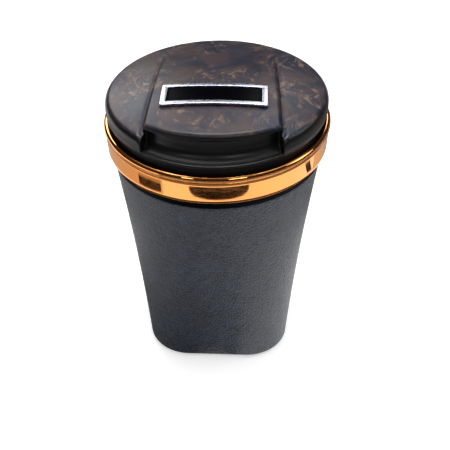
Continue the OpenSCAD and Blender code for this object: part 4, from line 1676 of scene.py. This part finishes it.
@dataclass(frozen=True)
class Studio:
    """Pale floor, soft lights, a white sky, and dark cards that only shiny surfaces see."""

    view: Viewpoint = field(default_factory=Viewpoint)
    floor_half: float = 3.0
    floor_tone: float = 0.85
    floor_lift: float = 0.38
    sky_level: float = 0.8
    wall_r: float = 900.0
    wall_low: float = 10.0
    wall_tops: tuple[float, float] = (900.0, 2400.0)
    wall_tones: tuple[float, float] = (0.02, 0.1)
    wall_sides: int = 64
    boxes: tuple[Softbox, ...] = (
        Softbox("top_softbox", (-0.05, 0.25, 0.95), 0.6, 0.22, 3.0),
        Softbox("back_left_softbox", (-0.34, 0.72, 0.58), 0.34, 0.26, 1.55),
        Softbox("back_right_softbox", (0.15, 0.76, 0.66), 0.16, 0.22, 0.45),
        Softbox("right_softbox", (0.65, 0.10, 0.60), 0.3, 0.3, 1.1),
        Softbox("front_left_softbox", (-0.33, -0.55, 0.80), 0.14, 0.12, 0.5),
        Softbox("front_right_softbox", (0.28, -0.58, 0.80), 0.22, 0.12, 0.8),
    )
    # These cards glow only for shiny surfaces: the dark ones are painted shade in reflections, left_shade and
    # right_shade warm the plated band's reflection, and edge_glow is a painted highlight on the lid's edges.
    cards: tuple[FloorCard | RingCard, ...] = (
        FloorCard("front_card", (-11.0, 18.5), (94.0, 100.4), 1.0, 0.0, (0.022, 0.022), 1.0),
        FloorCard("left_card", (-38.5, -25.0), (94.0, 99.4), 0.2, 0.0, (0.06, 0.06), 0.6),
        FloorCard("right_card", (52.0, 56.0), (94.4, 100.0), 0.0, -1.5, (0.05, 0.05)),
        FloorCard("left_shade", (-80.0, -24.0), (92.0, 103.5), 0.0, 0.0, (0.5, 0.95), tint=WARM, lift=2.0),
        FloorCard("right_shade", (58.0, 88.0), (92.0, 103.5), 0.0, 0.0, (0.95, 0.1), tint=WARM, lift=2.0),
        RingCard("edge_glow", (120.0, 430.0), (135.0, 225.0), (9.0, 9.0), 950.0),
        RingCard("roof_card", (0.0, 900.0), (-100.0, 100.0), (0.03, 0.03), 2400.0),
        RingCard("lid_card", (164.0, 216.0), (-150.0, 150.0), (0.28, 0.28)),
        RingCard("scoop_card", (216.0, 700.0), (-50.0, 150.0), (0.25, 0.25)),
        RingCard("neck_card", (86.0, 131.0), (-150.0, 150.0), (0.25, 0.06)),
        RingCard("foot_card", (31.0, 72.0), (-170.0, 16.0), (0.0, 0.06)),
    )

    def build(self) -> None:
        """Makes the stage."""
        bpy.context.scene.view_settings.view_transform = "Standard"
        self.view.build()
        for box in self.boxes:
            box.build()
        for card in self.cards:
            card.build(self.view)
        self._sky()
        self._floor()
        self._wall()

    def _sky(self) -> None:
        """World: white to the camera and to shiny surfaces, a plain level for the rest."""
        world = bpy.data.worlds.new("sky")
        bpy.context.scene.world = world
        graph = bare_graph(world)
        rays = graph.add("ShaderNodeLightPath").outputs
        shiny = graph.math("MAXIMUM", rays["Is Glossy Ray"], rays["Is Transmission Ray"])
        seen = graph.math("MAXIMUM", rays["Is Camera Ray"], shiny)
        level = graph.spread(seen, 0.0, 1.0, self.sky_level, 1.0)
        sky = graph.add("ShaderNodeBackground", {"Color": rgba(1.0, 1.0, 1.0), "Strength": level})
        graph.add("ShaderNodeOutputWorld", {"Surface": sky.outputs[0]})

    def _floor(self) -> None:
        """Pale floor that keeps the object's shadow and is white elsewhere."""
        material = bpy.data.materials.new("floor")
        graph = bare_graph(material)
        matt = graph.add("ShaderNodeBsdfDiffuse", {"Color": rgba(*[self.floor_tone] * 3)})
        rays = graph.add("ShaderNodeLightPath").outputs
        lift = graph.math("MAXIMUM", rays["Is Camera Ray"], rays["Is Glossy Ray"]) * self.floor_lift
        white = graph.add("ShaderNodeEmission", {"Color": rgba(1.0, 1.0, 1.0), "Strength": lift})
        both = graph.add("ShaderNodeAddShader", {0: matt.outputs[0], 1: white.outputs[0]})
        graph.add("ShaderNodeOutputMaterial", {"Surface": both.outputs[0]})
        h = self.floor_half / MM
        corners = np.array([[-h, -h, 0], [h, -h, 0], [h, h, 0], [-h, h, 0]])
        mesh_piece("floor", corners, [[0, 1, 2, 3]], material)

    def _wall(self) -> None:
        """Dark wall all round, far off and highest in front, that gives shiny edges their contrast."""
        sides = self.wall_sides
        turns = 2 * math.pi * np.arange(sides) / sides
        ring = np.stack([np.cos(turns), np.sin(turns)], -1) * self.wall_r
        back, front = self.wall_tops
        tops = (front + back) / 2 - (front - back) / 2 * np.sin(turns)
        points = np.concatenate([np.column_stack([ring, z]) for z in (np.full(sides, self.wall_low), tops)])
        faces = [[i, (i + 1) % sides, (i + 1) % sides + sides, i + sides] for i in range(sides)]
        stage_piece("far_wall", points, faces, np.repeat(self.wall_tones, sides))


def main() -> None:
    """Builds the stage and dresses every piece."""
    logging.basicConfig(level=logging.INFO, format="%(message)s")
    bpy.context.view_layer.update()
    Studio().build()
    palette = Palette()
    for row in frame["record"]["subparts"]:
        palette.dress(row["node"], row["material_slot"])
    # The cup's flange under the plated ring gets this black without reflections: painted shade under the ring.
    palette.dress("outer_cup", "cup_plastic_painted_shade")
    Cup().build(palette)
    Head().build(palette)
    cover = LidCover()
    cover.build(palette)
    Badge(cover).build(palette)


if __name__ == "__main__":
    main()
